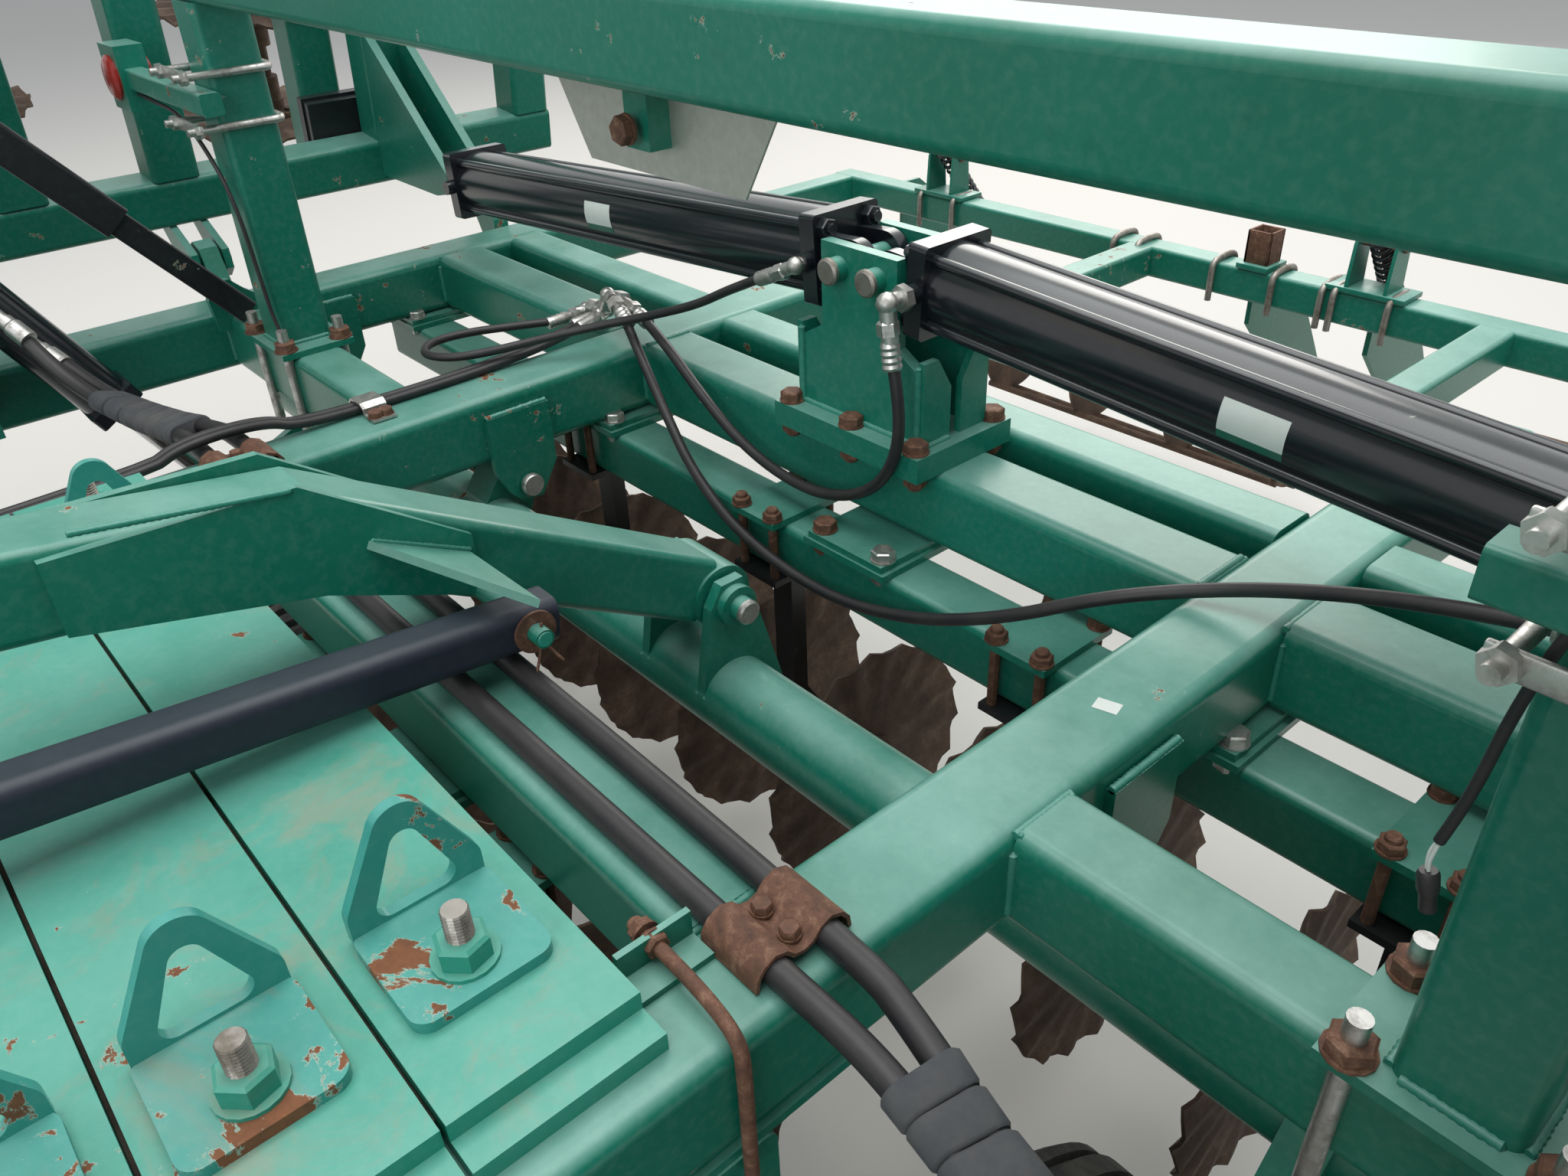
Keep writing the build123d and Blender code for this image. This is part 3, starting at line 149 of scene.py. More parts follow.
def paintedSteel(name, deep, faded, chips=0.69, stains=0.0, dust=0.3, roughness=0.34, mottle=0.05, coat=0.12,
                 blots=0.0, below=None):
    # paint with a slight fading, fine dirt, chips down to primer and rust, and dust on top faces, partly painted sky
    # light that lightens the tops
    material, tree, shader = startMaterial(name, roughness)
    vector = objectCoords(tree)
    broad = noiseOf(tree, vector, 1.6, 3, 0.5)
    fine = noiseOf(tree, vector, 90, 4, 0.6)
    color = mixOf(tree, maskOf(tree, broad, 0.3, 0.7), deep, faded)
    drops = maskOf(tree, noiseOf(tree, vector, 19, 5, 0.6, 0.3), 0.60, 0.70, mottle * 5)
    color = mixOf(tree, drops, color, [c * 0.7 for c in deep])
    color = mixOf(tree, maskOf(tree, fine, 0.45, 0.8, mottle), color, wear["haze"])
    # painted light: up-facing faces mix towards the pale cyan dust colour, which is dust and painted sky light on the
    # tops together
    top = upward(tree)
    dustAndSkyLight = maskOf(tree, noiseOf(tree, vector, 7, 6, 0.62), 0.05, 0.8, dust)
    dusty = mathOf(tree, "MULTIPLY", top, dustAndSkyLight)
    color = mixOf(tree, dusty, color, wear["dust"])
    if stains:
        patches = maskOf(tree, noiseOf(tree, vector, 5.5, 9, 0.72, 0.9), 0.54, 0.68, stains)
        color = mixOf(tree, mathOf(tree, "MULTIPLY", patches, top), color, wear["stain"])
    # chips have a light rim of worn paint round a rusty middle
    spots = noiseOf(tree, vector, 21, 12, 0.68, 0.25)
    where = noiseOf(tree, vector, 2.1, 3, 0.5)
    spots = mathOf(tree, "ADD", mathOf(tree, "MULTIPLY", spots, 0.72), mathOf(tree, "MULTIPLY", where, 0.38))
    rim = maskOf(tree, spots, chips, chips + 0.008)
    core = maskOf(tree, spots, chips + 0.008, chips + 0.016)
    if blots:
        bare = noiseOf(tree, vector, 8.5, 10, 0.66, 0.3)
        rim = mathOf(tree, "MAXIMUM", rim, maskOf(tree, bare, blots, blots + 0.008))
        core = mathOf(tree, "MAXIMUM", core, maskOf(tree, bare, blots + 0.006, blots + 0.016))
    rust = mixOf(tree, noiseOf(tree, vector, 70, 5, 0.7), wear["darkRust"], wear["paleRust"])
    color = mixOf(tree, rim, color, wear["primer"])
    color = mixOf(tree, core, color, rust)
    if below:
        # black paint under this height, on the clamp blocks below their pads
        split = tree.nodes.new("ShaderNodeSeparateXYZ")
        tree.links.new(vector, split.inputs["Vector"])
        color = mixOf(tree, maskOf(tree, split.outputs["Z"], below, below + 0.001), wear["black"], color)
    tree.links.new(color, shader.inputs["Base Color"])
    rough = mixOf(tree, core, mixOf(tree, dusty, (roughness,) * 3, (0.55,) * 3), (0.85,) * 3)
    tree.links.new(rough, shader.inputs["Roughness"])
    height = mathOf(tree, "SUBTRACT", mathOf(tree, "MULTIPLY", fine, 0.08), rim)
    bumpOf(tree, shader, height, 0.35, 0.0006)
    shader.inputs["Specular IOR Level"].default_value = 0.4
    shader.inputs["Coat Weight"].default_value = coat
    shader.inputs["Coat Roughness"].default_value = 0.15
    return material


def rustySteel(name, base, bright, dark, scale, roughness=0.72, metallic=0.35):
    material, tree, shader = startMaterial(name, roughness, metallic)
    vector = objectCoords(tree)
    broad = noiseOf(tree, vector, scale, 8, 0.68, 0.3)
    fine = noiseOf(tree, vector, scale * 9, 6, 0.65)
    color = rampOf(tree, broad, [(0.30, dark), (0.52, base), (0.72, bright)])
    color = mixOf(tree, maskOf(tree, fine, 0.42, 0.72, 0.45), color, dark)
    tree.links.new(color, shader.inputs["Base Color"])
    bumpOf(tree, shader, fine, 0.4, 0.0007)
    return material


def metalOf(name, color, roughness, grime, grimeColor=(0.10, 0.075, 0.05), scale=40):
    # bare or plated metal with dull grime in spots
    material, tree, shader = startMaterial(name, roughness, 1.0)
    vector = objectCoords(tree)
    spots = maskOf(tree, noiseOf(tree, vector, scale, 8, 0.66, 0.2), 0.46, 0.62, grime)
    tone = mixOf(tree, noiseOf(tree, vector, scale * 3, 4), color, [c * 0.72 for c in color])
    tree.links.new(mixOf(tree, spots, tone, grimeColor), shader.inputs["Base Color"])
    tree.links.new(mixOf(tree, spots, (roughness,) * 3, (0.8,) * 3), shader.inputs["Roughness"])
    bumpOf(tree, shader, noiseOf(tree, vector, scale * 8, 4), 0.15, 0.0004)
    return material


def rubberOf(name, color, roughness, grain=320, dust=0.12):
    material, tree, shader = startMaterial(name, roughness)
    vector = objectCoords(tree)
    dusty = maskOf(tree, noiseOf(tree, vector, 14, 8, 0.7), 0.4, 0.75, dust)
    tree.links.new(mixOf(tree, dusty, color, (0.32, 0.28, 0.22)), shader.inputs["Base Color"])
    bumpOf(tree, shader, noiseOf(tree, vector, grain, 3), 0.25, 0.0004)
    return material


deepGreen, fadedGreen = (0.003, 0.125, 0.076), (0.008, 0.172, 0.118)
padUnderside = 1.017  # metres, where the green pads end and the black blocks begin
# dust also sets how strongly the painted sky light lightens the tops
greenPaint = paintedSteel("greenPaint", deepGreen, fadedGreen, dust=0.46)
mountPaint = paintedSteel("mountPaint", deepGreen, fadedGreen, below=padUnderside)
slabPaint = paintedSteel("slabPaint", (0.010, 0.205, 0.140), (0.030, 0.290, 0.210), chips=0.682, stains=0.45, dust=0.3)
eyePaint = paintedSteel("eyePaint", (0.018, 0.215, 0.180), (0.045, 0.290, 0.245), chips=0.69, stains=0.4, dust=0.2,
                        blots=0.572)
barPaint = paintedSteel("barPaint", (0.010, 0.012, 0.024), (0.016, 0.018, 0.032), chips=0.685, dust=0.05,
                        roughness=0.5, mottle=0.01, coat=0.0)
blackPaint = paintedSteel("blackPaint", (0.008, 0.008, 0.010), (0.012, 0.012, 0.015), chips=0.70, dust=0.07,
                          mottle=0.012)
cylinderPaint = paintedSteel("cylinderPaint", (0.005, 0.006, 0.009), (0.008, 0.009, 0.013), chips=0.72, dust=0.04,
                             roughness=0.24, mottle=0.008, coat=0.4)
weldPaint = paintedSteel("weldPaint", (0.010, 0.150, 0.100), (0.030, 0.220, 0.160), chips=0.66, roughness=0.42)
rimPaint = paintedSteel("rimPaint", (0.42, 0.40, 0.33), (0.55, 0.53, 0.45), chips=0.68)
discSteel = rustySteel("discSteel", (0.115, 0.070, 0.046), (0.23, 0.155, 0.105), (0.05, 0.032, 0.024), scale=11)
boltRust = rustySteel("boltRust", (0.15, 0.070, 0.042), (0.29, 0.17, 0.11), (0.065, 0.035, 0.025), scale=60)
zinc = metalOf("zinc", (0.62, 0.62, 0.6), 0.38, 0.5)
bareRod = metalOf("bareRod", (0.36, 0.34, 0.31), 0.5, 0.6, scale=22)
chromeRod = metalOf("chromeRod", (0.72, 0.72, 0.74), 0.14, 0.1)
signMetal = metalOf("signMetal", (0.60, 0.59, 0.55), 0.55, 0.16, (0.42, 0.38, 0.32), scale=30)
hoseRubber = rubberOf("hoseRubber", (0.010, 0.009, 0.011), 0.5, dust=0.05)
# painted shade: a dark brown for the strips that fill the gaps between slabs
gapShade = rubberOf("gapShade", (0.035, 0.026, 0.018), 0.95, 60, 0.3)
foamSleeve = rubberOf("foamSleeve", (0.042, 0.046, 0.052), 0.9, 180, 0.14)
tyreRubber = rubberOf("tyreRubber", (0.020, 0.020, 0.020), 0.75, 120, 0.35)
labelWhite = rubberOf("labelWhite", (0.62, 0.66, 0.62), 0.45, 60, 0.2)
labelGreen = rubberOf("labelGreen", (0.01, 0.12, 0.08), 0.45, 60, 0.2)
lensRed = rubberOf("lensRed", (0.30, 0.012, 0.008), 0.25, 60, 0.05)

slotMaterials = {
    "green_paint": greenPaint, "black_paint": blackPaint, "rim_paint": rimPaint, "bare_steel": bareRod,
    "rusty_steel": discSteel, "rod_chrome": chromeRod, "sign_aluminium": signMetal, "tyre_rubber": tyreRubber,
    "hose_rubber": hoseRubber,
}
ownPaint = {"weight_slabs": slabPaint, "slab_eyes": eyePaint, "gang_mounts": mountPaint, "lock_bar": barPaint}
for side in sides:
    ownPaint["fold_barrel_" + side] = cylinderPaint
    ownPaint["lift_barrel_" + side] = cylinderPaint
for row in frame["record"]["subparts"]:
    node = nodes[row["node"]]
    node.data.materials.clear()
    node.data.materials.append(ownPaint.get(row["node"], slotMaterials[row["material_slot"]]))
print("materials made")

# camera at the photograph's angle, with its three directions as unit vectors
view = {
    "lens": 27.385, "sensor": 36, "spot": (1247.4, -1289.5, 2020), "right": (0.66043, 0.75003, -0.03586),
    "down": (0.38631, -0.38034, -0.84030), "ahead": (-0.64389, 0.54110, -0.54093),
}
cameraData = bpy.data.cameras.new("camera")
cameraData.sensor_width = view["sensor"]
cameraData.lens = view["lens"]
cameraData.clip_end = 100
camera = bpy.data.objects.new("camera", cameraData)
bpy.context.scene.collection.objects.link(camera)
axes = Matrix((Vector(view["right"]), -Vector(view["down"]), -Vector(view["ahead"]))).transposed().to_4x4()
camera.matrix_world = Matrix.Translation(place(*view["spot"])) @ axes
bpy.context.scene.camera = camera


def areaLight(name, position, target, size, power, color=(1, 1, 1)):
    data = bpy.data.lights.new(name, "AREA")
    data.shape = "RECTANGLE"
    data.size, data.size_y = size
    data.energy = power
    data.color = color
    lamp = bpy.data.objects.new(name, data)
    bpy.context.scene.collection.objects.link(lamp)
    lamp.location = position
    lamp.rotation_euler = (Vector(target) - Vector(position)).to_track_quat("-Z", "Y").to_euler()


areaLight("overhead", (0, 1, 9), (0, 0.8, 0), (9, 9), 900)
areaLight("behind", (-5, 9, 6), (0, 1, 1), (6, 5), 420, (1, 0.97, 0.92))
areaLight("front", (5, -8, 5), (0, 0, 1), (6, 5), 420, (0.95, 0.98, 1))

# a dim sky lights the machine, and a pale one shows behind it and in its reflections
world = bpy.data.worlds.new("world")
bpy.context.scene.world = world
world.use_nodes = True
tree = world.node_tree
tree.nodes.clear()
lightPath = tree.nodes.new("ShaderNodeLightPath")
dim = tree.nodes.new("ShaderNodeBackground")
dim.inputs["Color"].default_value = (0.86, 0.92, 1, 1)
dim.inputs["Strength"].default_value = 0.55
bright = tree.nodes.new("ShaderNodeBackground")
bright.inputs["Color"].default_value = (0.93, 0.93, 0.92, 1)
seen = mathOf(tree, "MAXIMUM", lightPath.outputs["Is Camera Ray"],
              mathOf(tree, "MAXIMUM", lightPath.outputs["Is Glossy Ray"], lightPath.outputs["Is Transmission Ray"]))
join = tree.nodes.new("ShaderNodeMixShader")
output = tree.nodes.new("ShaderNodeOutputWorld")
tree.links.new(seen, join.inputs["Fac"])
tree.links.new(dim.outputs["Background"], join.inputs[1])
tree.links.new(bright.outputs["Background"], join.inputs[2])
tree.links.new(join.outputs["Shader"], output.inputs["Surface"])

bm = bmesh.new()
bmesh.ops.create_circle(bm, cap_ends=True, segments=96, radius=30)
mesh = bpy.data.meshes.new("floor")
bm.to_mesh(mesh)
bm.free()
floor = bpy.data.objects.new("floor", mesh)
bpy.context.scene.collection.objects.link(floor)
floorPaint, tree, shader = startMaterial("floorPaint", 0.85)
shader.inputs["Base Color"].default_value = (0.62, 0.60, 0.56, 1)
shader.inputs["Specular IOR Level"].default_value = 0.1
mesh.materials.append(floorPaint)
bpy.context.scene.view_settings.view_transform = "Standard"
print("camera, lamps and floor set")


# shapes
def turned(bm, spot, way, profile, steps=20):
    # closed solid from (radius, height) pairs in mm, spun about a line through the spot
    way = way.normalized()
    side = way.orthogonal().normalized()
    verts = [bm.verts.new(spot + side * (r / 1000) + way * (h / 1000)) for r, h in profile]
    edges = [bm.edges.new(pair) for pair in zip(verts, verts[1:])]
    bmesh.ops.spin(bm, geom=verts + edges, cent=spot, axis=way, angle=2 * pi, steps=steps, use_merge=True)


def rod(bm, start, end, radius, steps=12):
    length = (end - start).length * 1000
    turned(bm, start, end - start, [(0, 0), (radius, 0), (radius, length), (0, length)], steps)


def nut(bm, spot, way, radius, height):
    turned(bm, spot, way, [(0, 0), (radius, 0), (radius, height), (0, height)], 6)


def bolt(bm, spot, way, size=12, stud=0):
    # washer, hexagon and a little of the thread, standing on a face
    turned(bm, spot, way, [(0, 0), (size * 1.75, 0), (size * 1.75, 3), (0, 3)], 14)
    high = 3 + size * 1.25
    turned(bm, spot, way, [(0, 2), (size * 1.62, 2), (size * 1.62, high - 2), (size * 1.4, high), (0, high)], 6)
    if stud:
        top = high + stud
        turned(bm, spot, way, [(0, high - 1), (size, high - 1), (size, top - 2), (size * 0.8, top), (0, top)], 12)


def newVerts(grown):
    return [item for item in grown["geom"] if isinstance(item, bmesh.types.BMVert)]


def plate(bm, corners, thickness):
    # flat plate from its corners, pushed out along its normal
    face = bm.faces.new([bm.verts.new(corner) for corner in corners])
    face.normal_update()
    push = face.normal * (thickness / 1000)
    grown = bmesh.ops.extrude_face_region(bm, geom=[face], use_keep_orig=True)
    bmesh.ops.translate(bm, vec=push, verts=newVerts(grown))


def box(bm, low, high, bevel=2.0):
    made = bmesh.ops.create_cube(bm, size=1)["verts"]
    matrix = Matrix.Translation((low + high) / 2) @ Matrix.Diagonal((*(high - low), 1))
    bmesh.ops.transform(bm, matrix=matrix, verts=made)
    edges = list({edge for vert in made for edge in vert.link_edges})
    bmesh.ops.bevel(bm, geom=edges, offset=bevel / 1000, offset_type="OFFSET", affect="EDGES", segments=2,
                    profile=0.5, material=-1)


def finishPiece(name, bm, material, body, smooth=35):
    bmesh.ops.remove_doubles(bm, verts=bm.verts, dist=0.00002)
    bmesh.ops.recalc_face_normals(bm, faces=bm.faces)
    mesh = bpy.data.meshes.new(name)
    bm.to_mesh(mesh)
    bm.free()
    mesh.materials.append(material)
    piece = bpy.data.objects.new(name, mesh)
    bpy.context.scene.collection.objects.link(piece)
    mesh.shade_smooth()
    mesh.set_sharp_from_angle(angle=radians(smooth))
    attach(piece, body)
    return piece


def bentRods(name, routes, radius, material, body):
    # smooth round bars or hoses through control points in layout mm
    data = bpy.data.curves.new(name, "CURVE")
    data.dimensions = "3D"
    data.bevel_depth = radius / 1000
    data.bevel_resolution = 4
    data.use_fill_caps = True
    for route in routes:
        spline = data.splines.new("NURBS")
        spline.points.add(len(route) - 1)
        for point, spot in zip(spline.points, route):
            point.co = (*place(*spot), 1)
        spline.order_u = 3
        spline.use_endpoint_u = True
        spline.resolution_u = 8
    data.materials.append(material)
    piece = bpy.data.objects.new(name, data)
    bpy.context.scene.collection.objects.link(piece)
    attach(piece, body)
    return piece


# the wings are laid out unfolded on the left and stand folded on both sides
wing = {"hingeX": 1640, "hingeZ": 1230, "fold": -97}
hinge = place(wing["hingeX"], mainY, wing["hingeZ"])


def wingTurn(side):
    mirrored = Matrix.Diagonal((sides[side], 1, 1, 1))
    folded = Matrix.Rotation(radians(wing["fold"]), 4, "Y")
    return mirrored @ Matrix.Translation(hinge) @ folded @ Matrix.Translation(-hinge)


# disc gangs: fluted discs on a round shaft with spools and flanges
gang = {
    "pitch": 283, "radius": 250, "flatTo": 125, "thick": 5.5, "flutes": 18, "wave": 7.5, "turnPerDisc": 0.13,
    "axisZ": 480, "behind": 45, "overhang": 55, "shaft": 19, "spool": 36, "flange": 62, "boltCircle": 47,
}
pitch = gang["pitch"]


def flutedDisc():
    bm = bmesh.new()
    radii = (gang["flange"] - 8, 120, 165, 195, 222, 243, gang["radius"])
    verts = [bm.verts.new((0, r / 1000, 0)) for r in radii]
    edges = [bm.edges.new(pair) for pair in zip(verts, verts[1:])]
    bmesh.ops.spin(bm, geom=verts + edges, cent=(0, 0, 0), axis=(1, 0, 0), angle=2 * pi, steps=gang["flutes"] * 4,
                   use_merge=True)
    for vert in bm.verts:
        # the flutes grow from the flat middle to the rim, which is worn back a little between them
        r = hypot(vert.co.y, vert.co.z) * 1000
        turn = atan2(vert.co.z, vert.co.y)
        share = max(0, (r - gang["flatTo"]) / (gang["radius"] - gang["flatTo"]))
        flute = sin(gang["flutes"] * turn + share * 1.2)
        vert.co.x += share ** 1.3 * gang["wave"] / 1000 * flute
        trim = 1 - 0.016 * share ** 6 * (1 - cos(2 * gang["flutes"] * turn)) / 2
        vert.co.y *= trim
        vert.co.z *= trim
    bmesh.ops.recalc_face_normals(bm, faces=bm.faces)
    bmesh.ops.solidify(bm, geom=bm.faces[:], thickness=gang["thick"] / 1000)
    mesh = bpy.data.meshes.new("flutedDisc")
    bm.to_mesh(mesh)
    bm.free()
    return mesh


discMesh = flutedDisc()
flange = [(0, 0), (gang["flange"], 0), (gang["flange"], 9), (gang["spool"], 14), (gang["spool"], 40),
          (gang["shaft"] + 1, 44), (0, 44)]
collar = [(0, 40), (32, 40), (32, 98), (26, 102), (0, 102)]


def discGang(node, body, crossY, first, count, matrix=Matrix()):
    bm = bmesh.new()
    shaftY, shaftZ = crossY - gang["behind"], gang["axisZ"]
    low, high = first - gang["overhang"], first + pitch * (count - 1) + gang["overhang"]
    rod(bm, place(low, shaftY, shaftZ), place(high, shaftY, shaftZ), gang["shaft"], 16)
    for end, way in ((low, -across), (high, across)):
        bolt(bm, place(end, shaftY, shaftZ) - way * 0.03, way, 17, 4)
    for k in range(count):
        x = first + pitch * k
        spot = place(x, shaftY, shaftZ)
        for way in (across, -across):
            turned(bm, spot + way * 0.0024, way, flange, 18)
            for j in range(4):
                turn = pi / 4 + pi / 2 * j
                offset = Vector((0, cos(turn), sin(turn))) * (gang["boltCircle"] / 1000)
                nut(bm, spot + offset + way * 0.0113, way, 10, 8)
        if k < count - 1:
            middle = place(x + pitch / 2, shaftY, shaftZ)
            for way in (across, -across):
                turned(bm, middle, way, collar, 14)
        start = len(bm.verts)
        bm.from_mesh(discMesh)
        bm.verts.ensure_lookup_table()
        put = Matrix.Translation(spot) @ Matrix.Rotation(gang["turnPerDisc"] * k, 4, "X")
        bmesh.ops.transform(bm, matrix=put, verts=bm.verts[start:])
    bmesh.ops.transform(bm, matrix=matrix, verts=bm.verts)
    piece = finishPiece(node + "_discs", bm, discSteel, body)
    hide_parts(node)


discGang("disc_gang_rear_right", "gang_rear_right", mainY, -5 * pitch, 6)
discGang("disc_gang_rear_left", "gang_rear_left", mainY, pitch, 5)
discGang("disc_gang_front", "gang_front", middleY, -2.5 * pitch, 6)
discGang("disc_gang_outer_right", "gang_outer_right", frontY, -4.5 * pitch, 2)
discGang("disc_gang_outer_left", "gang_outer_left", frontY, 3.5 * pitch, 2)
for side in sides:
    discGang("wing_disc_gang_rear_" + side, "wing_gang_rear_" + side, mainY, 1698, 9, wingTurn(side))
    discGang("wing_disc_gang_front_" + side, "wing_gang_front_" + side, middleY, 1557, 9, wingTurn(side))
print("disc gangs made")

# bolts of the pads, clamp blocks, tower and portal
padBolts = {
    "ahead": 147, "out": 66, "top": 1043, "under": 1020,
    "places": ((mainY, (-1508, -671.5, 65, 671.5, 1508)), (middleY, (-641.5, 65, 641.5)),
               (frontY, (-1508, -691.5, 691.5, 1508))),
}
blockBolts = {
    "ahead": 110, "outX": 40, "outY": 65, "foot": 906, "radius": 8,
    "places": ((mainY, (-2.5 * pitch, -0.5 * pitch, 1.5 * pitch, 3.5 * pitch)), (middleY, (-pitch, pitch)),
               (frontY, (-4 * pitch, 4 * pitch))),
    "wingPlaces": ((mainY, (2122.5, 2971.5, 3820.5)), (middleY, (1981.5, 2830.5, 3679.5))),
}
towerBolts = {"xs": (-140, 0, 140), "ys": (-88, 88), "top": 1210}
portalBolts = {"outX": 78, "outY": 56, "top": 1182}
rusty, bright = bmesh.new(), bmesh.new()
for crossY, xs in padBolts["places"]:
    for x in xs:
        for dx, kind in ((-padBolts["out"], rusty), (padBolts["out"], bright)):
            bolt(kind, place(x + dx, crossY - padBolts["ahead"], padBolts["top"]), upwards, 12)
            bolt(kind, place(x + dx, crossY - padBolts["ahead"], padBolts["under"]), -upwards, 12, 8)


def clampBolts(bm, rows):
    for crossY, xs in rows:
        for x in xs:
            for dx in (-blockBolts["outX"], blockBolts["outX"]):
                for dy in (-blockBolts["outY"], blockBolts["outY"]):
                    spot = place(x + dx, crossY - blockBolts["ahead"] + dy, blockBolts["foot"])
                    rod(bm, spot, spot + upwards * 0.13, blockBolts["radius"], 8)
                    bolt(bm, spot + upwards * 0.126, upwards, 10, 7)


clampBolts(rusty, blockBolts["places"])
for y in towerBolts["ys"]:
    for x in towerBolts["xs"]:
        bolt(rusty, place(x, y, towerBolts["top"]), upwards, 12)
        bolt(rusty, place(x, y, frameTop), -upwards, 11, 6)
for side in sides.values():
    for dy in (-portalBolts["outY"], portalBolts["outY"]):
        for dx in (-portalBolts["outX"], portalBolts["outX"]):
            # rusty nuts on the bright legs of the U-bolts
            spot = place(side * postX + dx, stubY + dy, portalBolts["top"])
            bolt(rusty, spot, upwards, 13)
            rod(bright, spot + upwards * 0.018, spot + upwards * 0.042, 10.5, 14)
            rod(bright, spot - upwards * 0.19, spot - upwards * 0.012, 10, 12)
bolt(rusty, place(92, -515, 1740), -rearward, 10)  # holds the sign
finishPiece("rusty_bolts", rusty, boltRust, "frame")
finishPiece("bright_bolts", bright, zinc, "frame")

# ends of the pins that turn with the rockshaft
shaftPins = {"y": -355, "z": 986, "out": 80.5, "profile": [(0, 0), (22, 0), (22, 9), (20, 12), (0, 12)]}
bm = bmesh.new()
turned(bm, place(110, -406, 1057), across, [(0, 0), (19, 0), (19, 6), (16, 9), (0, 9)], 20)
finishPiece("link_pin_end", bm, zinc, "rockshaft")
bm = bmesh.new()
for side in sides.values():
    for x in (side * innerRail, side * outerRail):
        for way in (across, -across):
            spot = place(x, shaftPins["y"], shaftPins["z"]) + way * (shaftPins["out"] / 1000)
            turned(bm, spot, way, shaftPins["profile"], 20)
finishPiece("hanger_pin_ends", bm, zinc, "rockshaft")
for side in sides:
    bm = bmesh.new()
    clampBolts(bm, blockBolts["wingPlaces"])
    bmesh.ops.transform(bm, matrix=wingTurn(side), verts=bm.verts)
    finishPiece("wing_bolts_" + side, bm, boltRust, "wing_" + side)

# studs and nuts that hold the slabs, and dark strips that paint the shade in the gaps between them
slabs = {"rows": 7, "rearY": -972, "pitch": 183, "gap": 5, "studX": 540, "footTop": 1222, "soilHalf": 640}
stud = {"radius": 12.5, "root": 11.2, "threadPitch": 3.6, "turns": 9, "bottom": 27}
thread = [(0, stud["bottom"] - 1)]
for k in range(stud["turns"]):
    crest = stud["bottom"] + k * stud["threadPitch"]
    thread += [(stud["radius"], crest), (stud["root"], crest + stud["threadPitch"] / 2)]
thread.append((0, thread[-1][1]))
studs, nuts = bmesh.new(), bmesh.new()
for row in range(slabs["rows"]):
    for side in sides.values():
        y = slabs["rearY"] - row * slabs["pitch"] - slabs["pitch"] / 2
        spot = place(side * slabs["studX"], y, slabs["footTop"])
        turned(nuts, spot, upwards, [(0, 0), (30, 0), (30, 4), (0, 4)], 18)
        turned(nuts, spot, upwards, [(0, 3), (25, 3), (25, 24), (21, 27), (0, 27)], 6)
        turned(studs, spot, upwards, thread, 14)
finishPiece("slab_studs", studs, bareRod, "frame", 20)
finishPiece("slab_nuts", nuts, slabPaint, "frame")
# painted shade: a dark strip fills the top of each gap between slabs, where shade falls
bm = bmesh.new()
for row in range(1, slabs["rows"]):
    y = slabs["rearY"] - row * slabs["pitch"]
    box(bm, place(-slabs["soilHalf"], y + 0.3, frameTop + 1),
        place(slabs["soilHalf"], y + slabs["gap"] - 0.3, frameTop + 23), 0.5)
finishPiece("gap_shade", bm, gapShade, "frame")
print("bolts made")

# fold cylinders: tie rod nuts, glands, pin ends and blank labels
foldCylinder = {
    "pinX": 40, "pinZ": 1450, "slope": -4.02, "capAt": 56, "glandAt": 1268.2, "tieRods": 48, "pinHalf": 92,
    "labelAt": {"left": 604, "right": 676}, "labelHalf": 43, "labelRadius": 64.4, "labelTurn": 178,
    "labelScale": 0.78, "labels": ((-18, 30, "white", labelWhite), (-32, -18, "green", labelGreen)),
}
tilt = radians(foldCylinder["slope"])
for side, sign in sides.items():
    body = "fold_barrel_" + side
    way = Vector((sign * cos(tilt), 0, sin(tilt)))
    upright = way.cross(rearward).normalized()
    pin = place(sign * foldCylinder["pinX"], mainY, foldCylinder["pinZ"])
    bm = bmesh.new()
    for dy in (-foldCylinder["tieRods"], foldCylinder["tieRods"]):
        for dz in (-foldCylinder["tieRods"], foldCylinder["tieRods"]):
            for at, out in ((foldCylinder["capAt"], -1), (foldCylinder["glandAt"], 1)):
                spot = pin + way * (at / 1000) + rearward * (dy / 1000) + upright * (dz / 1000)
                turned(bm, spot, way * out, [(0, 0), (17, 0), (17, 13), (15, 15), (0, 15)], 6)
                turned(bm, spot, way * out, [(0, 14), (9, 14), (9, 22), (0, 22)], 10)
    gland = pin + way * (foldCylinder["glandAt"] / 1000)
    turned(bm, gland, way, [(25.5, 0), (44, 0), (44, 12), (36, 18), (25.5, 18)], 24)
    finishPiece("fold_barrel_nuts_" + side, bm, cylinderPaint, body)
    bm = bmesh.new()
    for out in (-1, 1):
        spot = pin + rearward * (out * foldCylinder["pinHalf"] / 1000)
        turned(bm, spot, rearward * out, [(0, 0), (21, 0), (21, 6), (17, 9), (0, 9)], 20)
    finishPiece("fold_pin_ends_" + side, bm, bareRod, body)
    middle, half = foldCylinder["labelAt"][side], foldCylinder["labelHalf"]
    for low, high, kind, material in foldCylinder["labels"]:
        # a strip wrapped round the barrel's front in six steps
        strip = bmesh.new()
        grid = []
        for k in range(7):
            turn = radians(foldCylinder["labelTurn"] + (low + (high - low) * k / 6) * foldCylinder["labelScale"])
            around = rearward * cos(turn) - upright * sin(turn) * sign
            for end in (-half, half):
                spot = pin + way * ((middle + end) / 1000) + around * (foldCylinder["labelRadius"] / 1000)
                grid.append(strip.verts.new(spot))
        for k in range(6):
            strip.faces.new((grid[2 * k], grid[2 * k + 1], grid[2 * k + 3], grid[2 * k + 2]))
        bmesh.ops.solidify(strip, geom=strip.faces[:], thickness=-0.0004)
        finishPiece("label_" + kind + "_" + side, strip, material, body)

